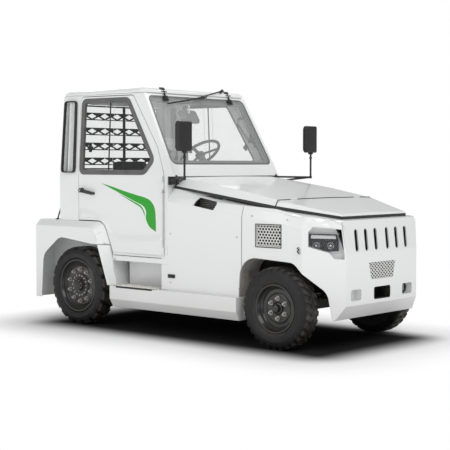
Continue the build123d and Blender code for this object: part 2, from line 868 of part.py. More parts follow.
# Rear counterweight: a cast block across the ends of the rails
block_front_x, block_rear_x, block_low, block_high = rail_rear_x, -1742, 300, 590
block_half = wheelhouse_inner_y - 45
block_bevel = 40
with BuildPart() as counterweight:
    with BuildSketch(side_plane(block_half)):
        Polygon(
            (block_front_x, block_low + block_bevel),
            (block_rear_x + block_bevel, block_low),
            (block_rear_x, block_low + block_bevel),
            (block_rear_x, block_high),
            (block_front_x, block_high),
            align=None,
        )
    extrude(amount=2 * block_half)
save(counterweight.part, "rear_counterweight")

# Tow hitch: a cast bracket with four jaws and one bore for the drop pin
hitch_x = -1776
hitch_bore_radius = 16
hitch_boss_radius = 34
hitch_half = 62
hitch_plate = 18
jaw_thickness = 22
jaw_count = 4
hitch_low, hitch_high = 318, 574
jaw_pitch = (hitch_high - hitch_low - jaw_thickness) / (jaw_count - 1)
with BuildPart() as hitch:
    with BuildSketch(Plane.XY.offset(hitch_low)):
        with Locations((block_rear_x - hitch_plate / 2, 0)):
            Rectangle(hitch_plate, 2 * hitch_half + 60)
    extrude(amount=hitch_high - hitch_low)
    for level in range(jaw_count):
        with BuildSketch(Plane.XY.offset(hitch_low + level * jaw_pitch)):
            with Locations(((block_rear_x + hitch_x) / 2, 0)):
                Rectangle(block_rear_x - hitch_x, 2 * hitch_half)
            with Locations((hitch_x, 0)):
                Circle(hitch_boss_radius)
        extrude(amount=jaw_thickness)
    with BuildSketch(Plane.XY.offset(hitch_low - 10)):
        with Locations((hitch_x, 0)):
            Circle(hitch_bore_radius)
    extrude(amount=hitch_high - hitch_low + 20, mode=Mode.SUBTRACT)
save(hitch.part, "tow_hitch")

# Front tow pocket: a box between the front cross member and the nose
pocket_rear_x = cross_x[-1] + cross_size / 2
pocket_front_x = nose_x - plate
pocket_wall = 14
pocket_pin_x = 1696
pocket_pin_radius = 14
pocket_mid_z = (tow_hole_low + tow_hole_high) / 2
with BuildPart() as pocket:
    with BuildSketch(Plane.YZ.offset(pocket_rear_x)):
        with Locations((0, pocket_mid_z)):
            Rectangle(2 * (tow_hole_half + pocket_wall), tow_hole_high - tow_hole_low + 2 * pocket_wall)
    extrude(amount=pocket_front_x - pocket_rear_x)
    with BuildSketch(Plane.YZ.offset(pocket_rear_x + pocket_wall)):
        with Locations((0, pocket_mid_z)):
            Rectangle(2 * tow_hole_half, tow_hole_high - tow_hole_low)
    extrude(amount=200, mode=Mode.SUBTRACT)
    with BuildSketch(Plane.XY.offset(pocket_mid_z - 110)):
        with Locations((pocket_pin_x, 0)):
            Circle(pocket_pin_radius)
    extrude(amount=220, mode=Mode.SUBTRACT)
save(pocket.part, "front_tow_pocket")

# Cab hull: side outline given a width, its upper sides leaning in
screen_angle = atan2(screen_foot_x - screen_head_x, screen_head_z - screen_foot_z)
lean = tan(radians(tumblehome))


def cab_hull(inset, bottom=cab_floor_z - cab_rail):
    with BuildPart() as hull:
        with BuildSketch(side_plane(panel_half_width - inset)):
            Polygon(
                (cab_rear_x, bottom),
                (cab_rear_x, waist_z),
                (cab_rear_top_x, roof_z),
                (screen_head_x, screen_head_z),
                (screen_foot_x, screen_foot_z),
                (cowl_x, cowl_top),
                (cab_front_x, cowl_top),
                (cab_front_x, bottom),
                align=None,
            )
            if inset:
                offset(amount=-inset, kind=Kind.INTERSECTION)
        extrude(amount=2 * (panel_half_width - inset))
        for side in (-1, 1):
            wall = Plane(origin=(0, side * (panel_half_width - inset), waist_z), z_dir=(0, side, lean))
            split(bisect_by=wall, keep=Keep.BOTTOM)
    return hull.part


glass_set = 18
hull_outer = cab_hull(0)
hull_inner = cab_hull(cab_wall, bottom=400)
glass_outer = cab_hull(glass_set)
glass_inner = cab_hull(glass_set + glass)

# Door outline, the window in it and the quarter window: rows of x, z and radius
door_rear_x = -1128
door_low = cab_floor_z + 8
door_outline = [
    (door_front_x, door_low, 12),
    (door_front_x, waist_z + 12, 60),
    (-100, 1662, 60),
    (-428, roof_z - 22, 50),
    (door_rear_x, roof_z - 16, 40),
    (door_rear_x, deck_z + 8, 4),
    (-786, deck_z + 8, 130),
    (-690, post_top, 30),
    (-655, door_low, 8),
]
window_low = 1424
window_outline = [
    (-250, window_low, 90),
    (-134, 1545, 60),
    (-452, roof_z - 100, 55),
    (-490, roof_z - 48, 30),
    (-1098, roof_z - 44, 28),
    (-1106, window_low, 28),
]
quarter_outline = [
    (-1350, window_low + 8, 28),
    (-1330, roof_z - 52, 28),
    (-1176, roof_z - 52, 28),
    (-1176, window_low + 8, 28),
]


def side_prism(rows, side, grow=0):
    """Rounded side-view outline extruded through one flank of the cab."""
    with BuildPart() as prism:
        with BuildSketch(side_plane(side * (panel_half_width + 115))):
            with BuildLine():
                rounded_loop(rows)
            make_face()
            if grow:
                offset(amount=grow)
        extrude(amount=300, dir=(0, -side, 0))
    return prism.part


screen_length = hypot(screen_foot_x - screen_head_x, screen_head_z - screen_foot_z)
screen_plane = Plane(
    origin=(screen_foot_x, 0, screen_foot_z),
    x_dir=(0, 1, 0),
    z_dir=(cos(screen_angle), 0, sin(screen_angle)),
)
screen_foot_half = panel_half_width - 33
screen_head_half = panel_half_width - 75
screen_corners = [
    (-screen_foot_half, 4),
    (screen_foot_half, 4),
    (screen_head_half, screen_length - 22),
    (-screen_head_half, screen_length - 22),
]
rear_window_half = panel_half_width - 165
rear_window_low, rear_window_high = 1452, roof_z - 66
rear_window_mid = (rear_window_low + rear_window_high) / 2
rear_window_height = rear_window_high - rear_window_low
roof_mid_x = (cab_rear_top_x + screen_head_x) / 2
roof_open_length = screen_head_x - cab_rear_top_x - 160
roof_open_half = panel_half_width - 115
wheel_room_rear_x, wheel_room_front_x, wheel_room_low = cab_rear_x - 20, -664, 500
wheel_room = (
    (wheel_room_rear_x, wheel_room_low),
    (wheel_room_rear_x, deck_z),
    (wheel_room_front_x, deck_z),
    (wheel_room_front_x, wheel_room_low),
)

# Cab shell: hollow hull, open for the doors, the glass, the roof and the wheels
with BuildPart() as shell:
    add(hull_outer)
    add(hull_inner, mode=Mode.SUBTRACT)
    for side in (-1, 1):
        add(side_prism(door_outline, side, door_gap), mode=Mode.SUBTRACT)
        add(side_prism(quarter_outline, side), mode=Mode.SUBTRACT)
        with BuildSketch(side_plane(side * (panel_half_width + 115))):
            Polygon(*wheel_room, align=None)
        extrude(amount=300, dir=(0, -side, 0), mode=Mode.SUBTRACT)
    with BuildSketch(side_plane(wheelhouse_inner_y + 5)):
        Polygon(*wheel_room, align=None)
    extrude(amount=2 * (wheelhouse_inner_y + 5), mode=Mode.SUBTRACT)
    with BuildSketch(Plane.XY.offset(600)):
        with Locations(((cab_front_x - 640) / 2, 0)):
            Rectangle(800, 2 * (floor_half + 1))
    extrude(amount=cowl_top - 600 - 30, mode=Mode.SUBTRACT)
    with BuildSketch(screen_plane):
        with BuildLine():
            FilletPolyline(*screen_corners, radius=60, close=True)
        make_face()
    extrude(amount=80, both=True, mode=Mode.SUBTRACT)
    with BuildSketch(Plane.YZ.offset(cab_rear_x - 20)):
        with Locations((0, rear_window_mid)):
            RectangleRounded(2 * rear_window_half, rear_window_height, 30)
    extrude(amount=120, mode=Mode.SUBTRACT)
    with BuildSketch(Plane.XY.offset(roof_z - 100)):
        with Locations((roof_mid_x, 0)):
            Rectangle(roof_open_length, 2 * roof_open_half)
    extrude(amount=200, mode=Mode.SUBTRACT)
save(shell.part, "cab_shell")

# Roof: a pan with an upright rim and a crown in two slopes, open on the inside
roof_half = panel_half_width - 35
roof_length = screen_head_x + 8 - cab_rear_top_x + 12
roof_skin = 12
roof_step = 22
shallow_taper = 84
with BuildPart() as roof:
    with BuildSketch(Plane.XY.offset(roof_z)):
        with Locations((roof_mid_x - 2, 0)):
            RectangleRounded(roof_length, 2 * roof_half, 70)
    extrude(amount=roof_rim)
    with BuildSketch(Plane.XY.offset(roof_z + roof_rim)):
        with Locations((roof_mid_x - 2, 0)):
            RectangleRounded(roof_length, 2 * roof_half, 70)
    extrude(amount=roof_step, taper=60)
    with BuildSketch(Plane.XY.offset(roof_z + roof_rim + roof_step)):
        with Locations((roof_mid_x - 2, 0)):
            Rectangle(
                roof_length - 2 * roof_step * tan(radians(60)) - 20,
                2 * (roof_half - roof_step * tan(radians(60)) - 10),
            )
    extrude(amount=roof_crown - roof_step, taper=shallow_taper)
    with BuildSketch(Plane.XY.offset(roof_z)):
        with Locations((roof_mid_x, 0)):
            Rectangle(roof_open_length, 2 * roof_open_half)
    extrude(amount=roof_rim + roof_step - roof_skin, mode=Mode.SUBTRACT)
save(roof.part, "cab_roof")

# Glass of the windscreen, the rear window and the quarter windows
with BuildPart() as windscreen:
    with BuildSketch(screen_plane.offset(-10)):
        with BuildLine():
            FilletPolyline(*screen_corners, radius=60, close=True)
        make_face()
        offset(amount=-glazing_gap)
    extrude(amount=glass)
save(windscreen.part, "windscreen_glass")

rear_glass_x = cab_rear_x + 34
with BuildPart() as rear_pane:
    with BuildSketch(Plane.YZ.offset(rear_glass_x)):
        with Locations((0, rear_window_mid)):
            RectangleRounded(2 * rear_window_half, rear_window_height, 30)
        offset(amount=-glazing_gap)
    extrude(amount=glass)
with BuildPart() as quarter_panes:
    for side in (-1, 1):
        add(side_prism(quarter_outline, side, -glazing_gap))
    add(glass_outer, mode=Mode.INTERSECT)
    add(glass_inner, mode=Mode.SUBTRACT)
with BuildPart() as cab_glass:
    add(rear_pane.part)
    add(quarter_panes.part)
save(cab_glass.part, "cab_glass")

# Rear guard: cut-out strips across the inside of the rear window
guard_frame = 14
guard_sheet = 4
strip_height = 72
strip_pitch = 146
strip_first_z = 1500
strip_count = 4
bar_y, bar_width = 80, 34
guard_gap = 0.4
with BuildPart() as rear_guard:
    with BuildSketch(Plane.YZ.offset(rear_glass_x + glass + guard_gap)):
        with Locations((0, rear_window_mid)):
            RectangleRounded(2 * (rear_window_half - 4), rear_window_height - 8, 28)
            RectangleRounded(
                2 * (rear_window_half - guard_frame), rear_window_height - 2 * guard_frame, 20,
                mode=Mode.SUBTRACT,
            )
        for row in range(strip_count):
            with Locations((0, strip_first_z + strip_height / 2 + row * strip_pitch)):
                Rectangle(2 * (rear_window_half - guard_frame) + 4, strip_height)
        with Locations((bar_y, rear_window_mid)):
            Rectangle(bar_width, rear_window_height - 2 * guard_frame + 4)
        diamond_x, diamond_pitch = 50, 86
        diamond_count = int((rear_window_half - 40) / diamond_pitch)
        with Locations(*[
            (bar_y + column * diamond_pitch, strip_first_z + strip_height / 2 + row * strip_pitch)
            for row in range(strip_count)
            for column in range(-diamond_count - 1, diamond_count)
            if column
        ]):
            Polygon(
                (diamond_x / 2, 0), (0, strip_height / 3), (-diamond_x / 2, 0), (0, -strip_height / 3),
                mode=Mode.SUBTRACT,
            )
    extrude(amount=guard_sheet)
save(rear_guard.part, "rear_guard")

# Doors: thick panels with a window, front hinges and a lever handle
door_hinge_y = panel_half_width + 14
door_hinge_x = door_front_x + 6
door_hinge_radius = 9
door_hinge_rows = ((715, 775), (1290, 1350))
handle_x, handle_z = -996, 1250
handle_length, handle_reach = 190, 22
for side, tail in ((-1, "right"), (1, "left")):
    with BuildPart() as door:
        add(side_prism(door_outline, side))
        add(hull_outer, mode=Mode.INTERSECT)
        add(hull_inner, mode=Mode.SUBTRACT)
        add(side_prism(window_outline, side), mode=Mode.SUBTRACT)
        for low, high in door_hinge_rows:
            with BuildSketch(Plane.XY.offset(low)):
                with Locations((door_hinge_x, side * door_hinge_y)):
                    Circle(door_hinge_radius)
                with Locations((door_hinge_x - 22, side * (panel_half_width + 5))):
                    Rectangle(44, 10)
            extrude(amount=high - low)
    save(door.part, f"door_{tail}")
    with BuildPart() as pane:
        add(side_prism(window_outline, side, -glazing_gap))
        add(glass_outer, mode=Mode.INTERSECT)
        add(glass_inner, mode=Mode.SUBTRACT)
    save(pane.part, f"door_glass_{tail}")
    with BuildPart() as handle:
        with BuildSketch(side_plane(side * panel_half_width)):
            with Locations((handle_x - 66, handle_z + 12), (handle_x + 66, handle_z - 12)):
                Circle(15)
        extrude(amount=handle_reach + 8, dir=(0, side, 0))
        with BuildSketch(side_plane(side * (panel_half_width + handle_reach))):
            with Locations((handle_x, handle_z)):
                SlotOverall(handle_length, 30, rotation=-10)
        extrude(amount=14, dir=(0, side, 0))
    save(handle.part, f"door_handle_{tail}")

# Cab floor: floor plate, front bulkhead and the walls of the step wells
step_back_y = body_half_width - step_depth
step_rear_x, step_front_x = -600, -42
floor_rear_x, floor_mid_x = -1380, -640
bulkhead_x = 16
bulkhead_low = 560
floor_plate = 12
well_plate = 10
with BuildPart() as cab_floor:
    with BuildSketch(Plane.XY.offset(cab_floor_z - floor_plate)):
        with Locations(((bulkhead_x + floor_mid_x) / 2, 0)):
            Rectangle(bulkhead_x - floor_mid_x, 2 * floor_half)
        with Locations(((floor_rear_x + floor_mid_x) / 2, 0)):
            Rectangle(floor_mid_x - floor_rear_x, 2 * wheelhouse_inner_y)
    extrude(amount=floor_plate)
    with BuildSketch(Plane.XY.offset(bulkhead_low)):
        with Locations((bulkhead_x + floor_plate / 2, 0)):
            Rectangle(floor_plate, 2 * floor_half)
    extrude(amount=cowl_top - bulkhead_low - cab_wall)
    with BuildSketch(Plane.XY.offset(sill_top)):
        for side in (-1, 1):
            with Locations(((step_front_x + step_rear_x) / 2, side * (step_back_y - well_plate / 2))):
                Rectangle(step_front_x - step_rear_x, well_plate)
            with Locations((step_front_x - well_plate / 2, side * (step_back_y + floor_half) / 2)):
                Rectangle(well_plate, floor_half - step_back_y)
    extrude(amount=cab_floor_z - sill_top)
save(cab_floor.part, "cab_floor")

# Seat: sprung base, cushion and back
seat_y = 90
seat_rear_x, seat_front_x = -1130, -640
cushion_low, cushion_high = 980, 1090
seat_mid_x = (seat_rear_x + seat_front_x) / 2
back_width, back_height, back_depth = 470, 560, 100
with BuildPart() as seat_base:
    with BuildSketch(Plane.XY.offset(cab_floor_z)):
        with Locations((seat_mid_x, seat_y)):
            RectangleRounded(400, 380, 20)
    extrude(amount=cushion_low - cab_floor_z - seat_gap)
save(seat_base.part, "seat_base")
with BuildPart() as cushion:
    with BuildSketch(Plane.XY.offset(cushion_low)):
        with Locations((seat_mid_x, seat_y)):
            RectangleRounded(seat_front_x - seat_rear_x, 490, 60)
    extrude(amount=cushion_high - cushion_low)
save(cushion.part, "seat_cushion")
with BuildPart() as seat_back:
    back_foot = (seat_rear_x + 1.7, seat_y, cushion_low + 20)
    with BuildSketch(Plane(origin=back_foot, x_dir=(0, 1, 0), z_dir=(0.98, 0, 0.2))):
        with Locations((0, back_height / 2 + 10)):
            RectangleRounded(back_width, back_height, 90)
    extrude(amount=-back_depth)
save(seat_back.part, "seat_back")

# Dashboard with its instrument hump, the column and the steering wheel
dash_half = panel_half_width - 85
hump_half = 170
dash_low, dash_top = 1120, 1350
with BuildPart() as dash:
    with BuildSketch(side_plane(dash_half)):
        Polygon(
            (bulkhead_x, dash_low), (-110, 1150), (-190, 1230), (-170, 1340), (-20, dash_top),
            (bulkhead_x, dash_top),
            align=None,
        )
    extrude(amount=2 * dash_half)
    with BuildSketch(side_plane(seat_y + hump_half)):
        Polygon((-180, 1330), (-150, 1420), (-30, 1440), (-10, 1340), align=None)
    extrude(amount=2 * hump_half)
save(dash.part, "dashboard")

wheel_centre = Vector(-330, seat_y, 1600)
column_tilt = 38
column_axis = Vector(-sin(radians(column_tilt)), 0, cos(radians(column_tilt)))
steering_wheel_radius = 205
grip_radius = 14
column_length = 330
column_radius = 34
column_top_radius = 12
column_start = 30
column_plane = Plane(
    origin=wheel_centre - column_axis * column_length,
    x_dir=(0, 1, 0),
    z_dir=column_axis,
)
with BuildPart() as column:
    with BuildSketch(column_plane.offset(column_start)):
        Circle(column_radius)
    extrude(amount=column_length - column_start - 32)
    with BuildSketch(column_plane.offset(column_start)):
        Circle(column_top_radius)
    extrude(amount=column_length - column_start - 2)
    with BuildSketch(column_plane.offset(column_start)):
        Circle(58)
    extrude(amount=70, taper=14)
    add(dash.part, mode=Mode.SUBTRACT)
save(column.part, "steering_column")

with BuildPart() as steering_wheel:
    grip_plane = Plane(
        origin=wheel_centre, x_dir=column_plane.x_dir, z_dir=column_axis.cross(Vector(0, 1, 0))
    )
    with BuildSketch(grip_plane):
        with Locations((steering_wheel_radius, 0)):
            Circle(grip_radius)
    revolve(axis=Axis(wheel_centre, column_axis))
    with BuildSketch(column_plane.offset(column_length - 30)):
        Circle(44)
    extrude(amount=38)
    with BuildSketch(column_plane.offset(column_length - 10)):
        with PolarLocations(steering_wheel_radius / 2, 3, start_angle=90):
            Rectangle(steering_wheel_radius, 30)
    extrude(amount=10)
    with BuildSketch(column_plane.offset(column_length - 60)):
        Circle(column_top_radius + 0.4)
    extrude(amount=62, mode=Mode.SUBTRACT)
save(steering_wheel.part, "steering_wheel")

# Mirrors: tube arms on brackets at the cowl corners, heads outboard of the doors
mirror_x, mirror_y, mirror_low, mirror_high = 390, body_half_width + 93, 1618, 1872
mirror_width, mirror_depth = 172, 46
mirror_tube_radius = 9
bracket_y, bracket_z, bracket_length = body_half_width - 95, 1364, 92
elbow_z = 1384
arm_starts = ((80, bracket_y, 1388), (112, bracket_y - 10, 1345))
with BuildPart() as mirrors:
    for side in (-1, 1):
        with BuildSketch(Plane.XY.offset(elbow_z - mirror_tube_radius)):
            with Locations((mirror_x, side * mirror_y)):
                Circle(mirror_tube_radius)
        extrude(amount=mirror_low + 60 - elbow_z)
        with BuildSketch(Plane.YZ.offset(cab_front_x)):
            with Locations((side * bracket_y, bracket_z)):
                Rectangle(44, 68)
        extrude(amount=bracket_length)
        for x, y, z in arm_starts:
            foot = Vector(x, side * y, z)
            elbow = Vector(mirror_x, side * mirror_y, elbow_z)
            with BuildSketch(Plane(origin=foot, z_dir=elbow - foot)):
                Circle(mirror_tube_radius)
            extrude(amount=(elbow - foot).length)
        with BuildPart() as head:
            with BuildSketch(Plane.XY.offset(mirror_low)):
                with Locations((mirror_x - 6, side * mirror_y)):
                    RectangleRounded(mirror_depth, mirror_width, 18)
            extrude(amount=mirror_high - mirror_low)
            fillet(head.faces().sort_by(Axis.Z)[-1].edges(), radius=16)
            fillet(head.faces().sort_by(Axis.Z)[0].edges(), radius=16)
        add(head.part)
save(mirrors.part, "mirrors")

# Headlamps: a bucket behind each recess of the nose with the lamp block in it
bucket_wall = 4
bucket_depth = 72
lamp_low, lamp_high = 811, 953
lamp_rear_s, lamp_front_s = 47, 297
lamp_depth = 50
with BuildPart() as headlamps:
    for side in (-1, 1):
        with BuildSketch(facet_plane(side, plate + seat_gap + bucket_depth)):
            Polygon(*on_facet(side, lamp_recess), align=None)
            offset(amount=bucket_wall + 4)
        extrude(amount=bucket_depth)
        with BuildSketch(facet_plane(side, plate + seat_gap + bucket_depth - bucket_wall)):
            Polygon(*on_facet(side, lamp_recess), align=None)
            offset(amount=4)
        extrude(amount=bucket_depth, mode=Mode.SUBTRACT)
        with BuildSketch(facet_plane(side, plate + seat_gap + bucket_depth - 1)):
            with Locations((
                (lamp_rear_s + lamp_front_s) / 2 - 2,
                -side * (lamp_low + lamp_high) / 2,
            )):
                RectangleRounded(lamp_front_s - lamp_rear_s - 16, lamp_high - lamp_low - 22, 24)
        extrude(amount=lamp_depth)
    add(body_solid(plate + seat_gap), mode=Mode.INTERSECT)
    add(nose.part, mode=Mode.SUBTRACT)
save(headlamps.part, "headlamps")

tail_lamp_y, tail_lamp_z = 445, 800
with BuildPart() as tail_lamps:
    with BuildSketch(Plane.YZ.offset(fender_rear_x)):
        with Locations((-tail_lamp_y, tail_lamp_z), (tail_lamp_y, tail_lamp_z)):
            RectangleRounded(170, 90, 12)
    extrude(amount=-28)
save(tail_lamps.part, "tail_lamps")

# Grilles: perforated plates behind the side grilles, the nose grille and the vents
mesh_plate = 3
mesh_rim = 10
mesh_pitch = (34, 26)
mesh_hole = (26, 18)
with BuildPart() as grilles:
    for side in (-1, 1):
        with BuildSketch(side_plane(side * (panel_half_width - plate - seat_gap))):
            with Locations((side_grille_x, side_grille_z)):
                RectangleRounded(side_grille_width + 2 * mesh_rim, side_grille_height + 2 * mesh_rim, 20)
        extrude(amount=mesh_plate, dir=(0, -side, 0))
        with BuildSketch(side_plane(side * (panel_half_width - plate))):
            with Locations((side_grille_x, side_grille_z)):
                with BuildSketch(mode=Mode.PRIVATE) as holes:
                    diamond_grid(side_grille_width, side_grille_height, *mesh_pitch, *mesh_hole)
                add(holes.sketch)
        extrude(amount=2 * mesh_plate, dir=(0, -side, 0), mode=Mode.SUBTRACT)
    with BuildSketch(Plane.YZ.offset(nose_x - plate - seat_gap - mesh_plate)):
        Polygon(*nose_grille, *[(-y, z) for y, z in reversed(nose_grille)], align=None)
        offset(amount=mesh_rim)
        with Locations((0, (nose_grille[0][1] + nose_grille[1][1]) / 2)):
            with BuildSketch(mode=Mode.PRIVATE) as holes:
                diamond_grid(
                    2 * nose_grille[1][0], nose_grille[0][1] - nose_grille[1][1], *mesh_pitch, *mesh_hole
                )
            add(holes.sketch, mode=Mode.SUBTRACT)
    extrude(amount=mesh_plate)
save(grilles.part, "grilles")
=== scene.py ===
import math

import bmesh
import bpy
from mathutils import Matrix, Vector


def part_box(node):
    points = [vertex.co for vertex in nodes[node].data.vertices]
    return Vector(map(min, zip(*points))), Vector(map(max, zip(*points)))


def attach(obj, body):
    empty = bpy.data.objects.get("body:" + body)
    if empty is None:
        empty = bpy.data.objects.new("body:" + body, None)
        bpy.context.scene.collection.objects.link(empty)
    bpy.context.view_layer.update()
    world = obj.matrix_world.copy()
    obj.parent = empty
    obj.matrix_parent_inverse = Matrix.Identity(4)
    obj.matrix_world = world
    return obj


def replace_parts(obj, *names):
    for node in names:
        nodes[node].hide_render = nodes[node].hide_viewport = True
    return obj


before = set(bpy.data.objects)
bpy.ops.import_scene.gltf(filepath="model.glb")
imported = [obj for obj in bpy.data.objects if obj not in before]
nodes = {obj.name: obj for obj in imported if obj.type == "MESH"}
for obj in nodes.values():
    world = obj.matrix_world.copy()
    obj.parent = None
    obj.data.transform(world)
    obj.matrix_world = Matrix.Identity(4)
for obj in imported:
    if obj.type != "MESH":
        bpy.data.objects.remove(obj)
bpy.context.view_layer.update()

# Camera: a standing view of the right front quarter, slightly downwards,
# from about ten metres, with the long lens of the photograph.
focal_length, sensor_width, eye_height = 93.68, 36, 1.5
look_down, look_left = 2.93, 41.5
camera_data = bpy.data.cameras.new("view")
camera_data.lens = focal_length
camera_data.sensor_width = sensor_width
camera = bpy.data.objects.new("view", camera_data)
camera.location = (7.224, -8.085, eye_height)
camera.rotation_euler = (math.radians(90 - look_down), 0, math.radians(look_left))
bpy.context.scene.collection.objects.link(camera)
bpy.context.scene.camera = camera
bpy.context.scene.view_settings.view_transform = "Standard"


def linear(text):
    """sRGB hex to a linear colour with alpha 1."""
    channels = [int(text[i : i + 2], 16) / 255 for i in (0, 2, 4)]
    return (*[c / 12.92 if c <= 0.04045 else ((c + 0.055) / 1.055) ** 2.4 for c in channels], 1)


def add_node(tree, kind, settings=None, inputs=None):
    """Adds one node; an input that is a socket is linked, any other is set."""
    node = tree.nodes.new(kind)
    for key, value in (settings or {}).items():
        setattr(node, key, value)
    for key, value in (inputs or {}).items():
        if isinstance(value, bpy.types.NodeSocket):
            tree.links.new(value, node.inputs[key])
        else:
            node.inputs[key].default_value = value
    return node


def new_material(name):
    material = bpy.data.materials.new(name)
    material.use_nodes = True
    material.node_tree.nodes.clear()
    return material, material.node_tree


def finished(tree, shader):
    add_node(tree, "ShaderNodeOutputMaterial", inputs={"Surface": shader.outputs[0]})


# Studio: a pale seamless floor with a painted shadow, its colour darkened where the vehicle stands so that
# its shadow is deep, that runs out to white under a white sky and soft lamps.
sky = bpy.data.worlds.new("studio")
sky.use_nodes = True
sky.node_tree.nodes.clear()
ray = add_node(sky.node_tree, "ShaderNodeLightPath")
seen = add_node(sky.node_tree, "ShaderNodeMath", {"operation": "MAXIMUM"},
                {0: ray.outputs["Is Camera Ray"], 1: ray.outputs["Is Transmission Ray"]})
level = add_node(sky.node_tree, "ShaderNodeMapRange",
                 inputs={"Value": seen.outputs[0], "To Min": 0.36, "To Max": 1.0})
backdrop = add_node(sky.node_tree, "ShaderNodeBackground", inputs={"Strength": level.outputs[0]})
backdrop.inputs["Color"].default_value = (1, 1, 1, 1)
add_node(sky.node_tree, "ShaderNodeOutputWorld", inputs={"Surface": backdrop.outputs[0]})
bpy.context.scene.world = sky

floor_paint, tree = new_material("floor_paper_painted_shadow")
reach = add_node(tree, "ShaderNodeTexCoord").outputs["Object"]
for operation, operand in (
    ("SUBTRACT", (0.18, -0.1, 0)), ("ABSOLUTE", (0, 0, 0)),
    ("SUBTRACT", (1.50, 0.62, 0)), ("MAXIMUM", (0, 0, 0)),
):
    reach = add_node(tree, "ShaderNodeVectorMath", {"operation": operation},
                     {0: reach, 1: operand}).outputs[0]
span = add_node(tree, "ShaderNodeVectorMath", {"operation": "LENGTH"}, {0: reach}).outputs["Value"]
near, far = (add_node(tree, "ShaderNodeMapRange", {"interpolation_type": "SMOOTHSTEP"},
                      {"Value": span, "From Min": start, "From Max": end}).outputs[0]
             for start, end in ((0.0, 0.46), (0.30, 1.1)))
# Painted shadow: dark grey inside the vehicle's footprint, fading to near white 0.46 m beyond it.
tone = add_node(tree, "ShaderNodeMix", {"data_type": "RGBA"},
                {0: near, 6: linear("303030"), 7: linear("FBFBFB")})
paper = add_node(tree, "ShaderNodeBsdfDiffuse", inputs={"Color": tone.outputs[2]})
white = add_node(tree, "ShaderNodeEmission", inputs={"Strength": 1.0})
finished(tree, add_node(tree, "ShaderNodeMixShader",
                        inputs={0: far, 1: paper.outputs[0], 2: white.outputs[0]}))
bm = bmesh.new()
bmesh.ops.create_grid(bm, x_segments=1, y_segments=1, size=40)
floor_mesh = bpy.data.meshes.new("floor")
bm.to_mesh(floor_mesh)
bm.free()
floor_mesh.materials.append(floor_paint)
floor = bpy.data.objects.new("floor", floor_mesh)
bpy.context.scene.collection.objects.link(floor)

lit_point = Vector((0.2, 0, 0.9))
for name, spot, size, watts in (
    ("key", (5.5, -2.2, 5.2), 4.0, 170), ("side", (-1.0, -6.5, 3.4), 4.5, 105),
    ("top", (0.4, 1.8, 5.6), 3.6, 85), ("back", (-5.5, 4.5, 3.6), 4.0, 90),
):
    lamp_data = bpy.data.lights.new(name, "AREA")
    lamp_data.size = size
    lamp_data.energy = watts
    lamp = bpy.data.objects.new(name, lamp_data)
    lamp.location = spot
    lamp.rotation_euler = (lit_point - Vector(spot)).to_track_quat("-Z", "Y").to_euler()
    bpy.context.scene.collection.objects.link(lamp)

# Painted body: folded steel plate with bent edges, in gloss white coach
# enamel. Each panel of the model is taken over with its edges rounded.
enamel, tree = new_material("white_coach_enamel")
place = add_node(tree, "ShaderNodeTexCoord").outputs["Object"]
height = add_node(tree, "ShaderNodeSeparateXYZ", inputs={0: place}).outputs["Z"]
cloud = add_node(tree, "ShaderNodeTexNoise", inputs={"Vector": place, "Scale": 2.2, "Detail": 3}).outputs[0]
# Painted shade with dust: below 0.62 m the enamel goes darker and browner towards the bottom, in noisy
# patches.
low = add_node(tree, "ShaderNodeMapRange", {"interpolation_type": "SMOOTHSTEP"},
               {"Value": height, "From Min": 0.62, "From Max": 0.18, "To Min": 0.0, "To Max": 0.5}).outputs[0]
dust_and_painted_light = add_node(tree, "ShaderNodeMath", {"operation": "MULTIPLY"}, {0: low, 1: cloud}).outputs[0]
tone = add_node(tree, "ShaderNodeMix", {"data_type": "RGBA"},
                {0: dust_and_painted_light, 6: linear("EDEEEE"), 7: linear("C9C7C2")})
peel = add_node(tree, "ShaderNodeTexNoise", inputs={"Vector": place, "Scale": 55, "Detail": 1}).outputs[0]
skin = add_node(tree, "ShaderNodeBump", inputs={"Height": peel, "Strength": 0.035, "Distance": 0.004})
finished(tree, add_node(tree, "ShaderNodeBsdfPrincipled", inputs={
    "Base Color": tone.outputs[2], "Roughness": 0.3, "Normal": skin.outputs[0],
    "Coat Weight": 0.5, "Coat Roughness": 0.08,
}))


def make_piece(name, bm, material, body, slot, round_edge=0.0, smooth=35, outward=False):
    """A bmesh as a finished piece on its body, with its sharp edges rounded."""
    if outward:
        bmesh.ops.recalc_face_normals(bm, faces=bm.faces)
    mesh = bpy.data.meshes.new(name)
    bm.to_mesh(mesh)
    bm.free()
    mesh.materials.append(material)
    obj = bpy.data.objects.new(name, mesh)
    bpy.context.scene.collection.objects.link(obj)
    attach(obj, body)
    mesh.shade_smooth()
    mesh.set_sharp_from_angle(angle=math.radians(smooth))
    if round_edge:
        bevel = obj.modifiers.new("round", "BEVEL")
        bevel.width = round_edge
        bevel.segments = 2
        bevel.limit_method = "ANGLE"
        bevel.angle_limit = math.radians(30)
        bevel.harden_normals = True
    return obj


def panel(node, name, material, body, slot, round_edge=0.003, smooth=18):
    """A copy of a model node, merged, with its bent edges rounded."""
    bm = bmesh.new()
    bm.from_mesh(nodes[node].data)
    bmesh.ops.remove_doubles(bm, verts=bm.verts, dist=0.00004)
    bmesh.ops.dissolve_limit(bm, angle_limit=math.radians(0.05), verts=bm.verts, edges=bm.edges)
    obj = make_piece(name, bm, material, body, slot, round_edge, smooth)
    if round_edge:
        obj.modifiers["round"].use_clamp_overlap = False
    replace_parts(obj, node)


for node, body, edge in (
    ("side_panel_right", "root", 0), ("side_panel_left", "root", 0), ("nose_fascia", "root", 0.004),
    ("bonnet_cowl", "root", 0.003), ("cab_shell", "root", 0.004), ("cab_roof", "root", 0.006),
    ("sills", "root", 0.006), ("rear_body", "root", 0.004), ("cab_floor", "root", 0.002),
    ("bonnet_lid", "bonnet", 0.003), ("door_right", "right_door", 0.003), ("door_left", "left_door", 0.003),
):
    panel(node, f"{node}_skin", enamel, body, "body_white", edge)
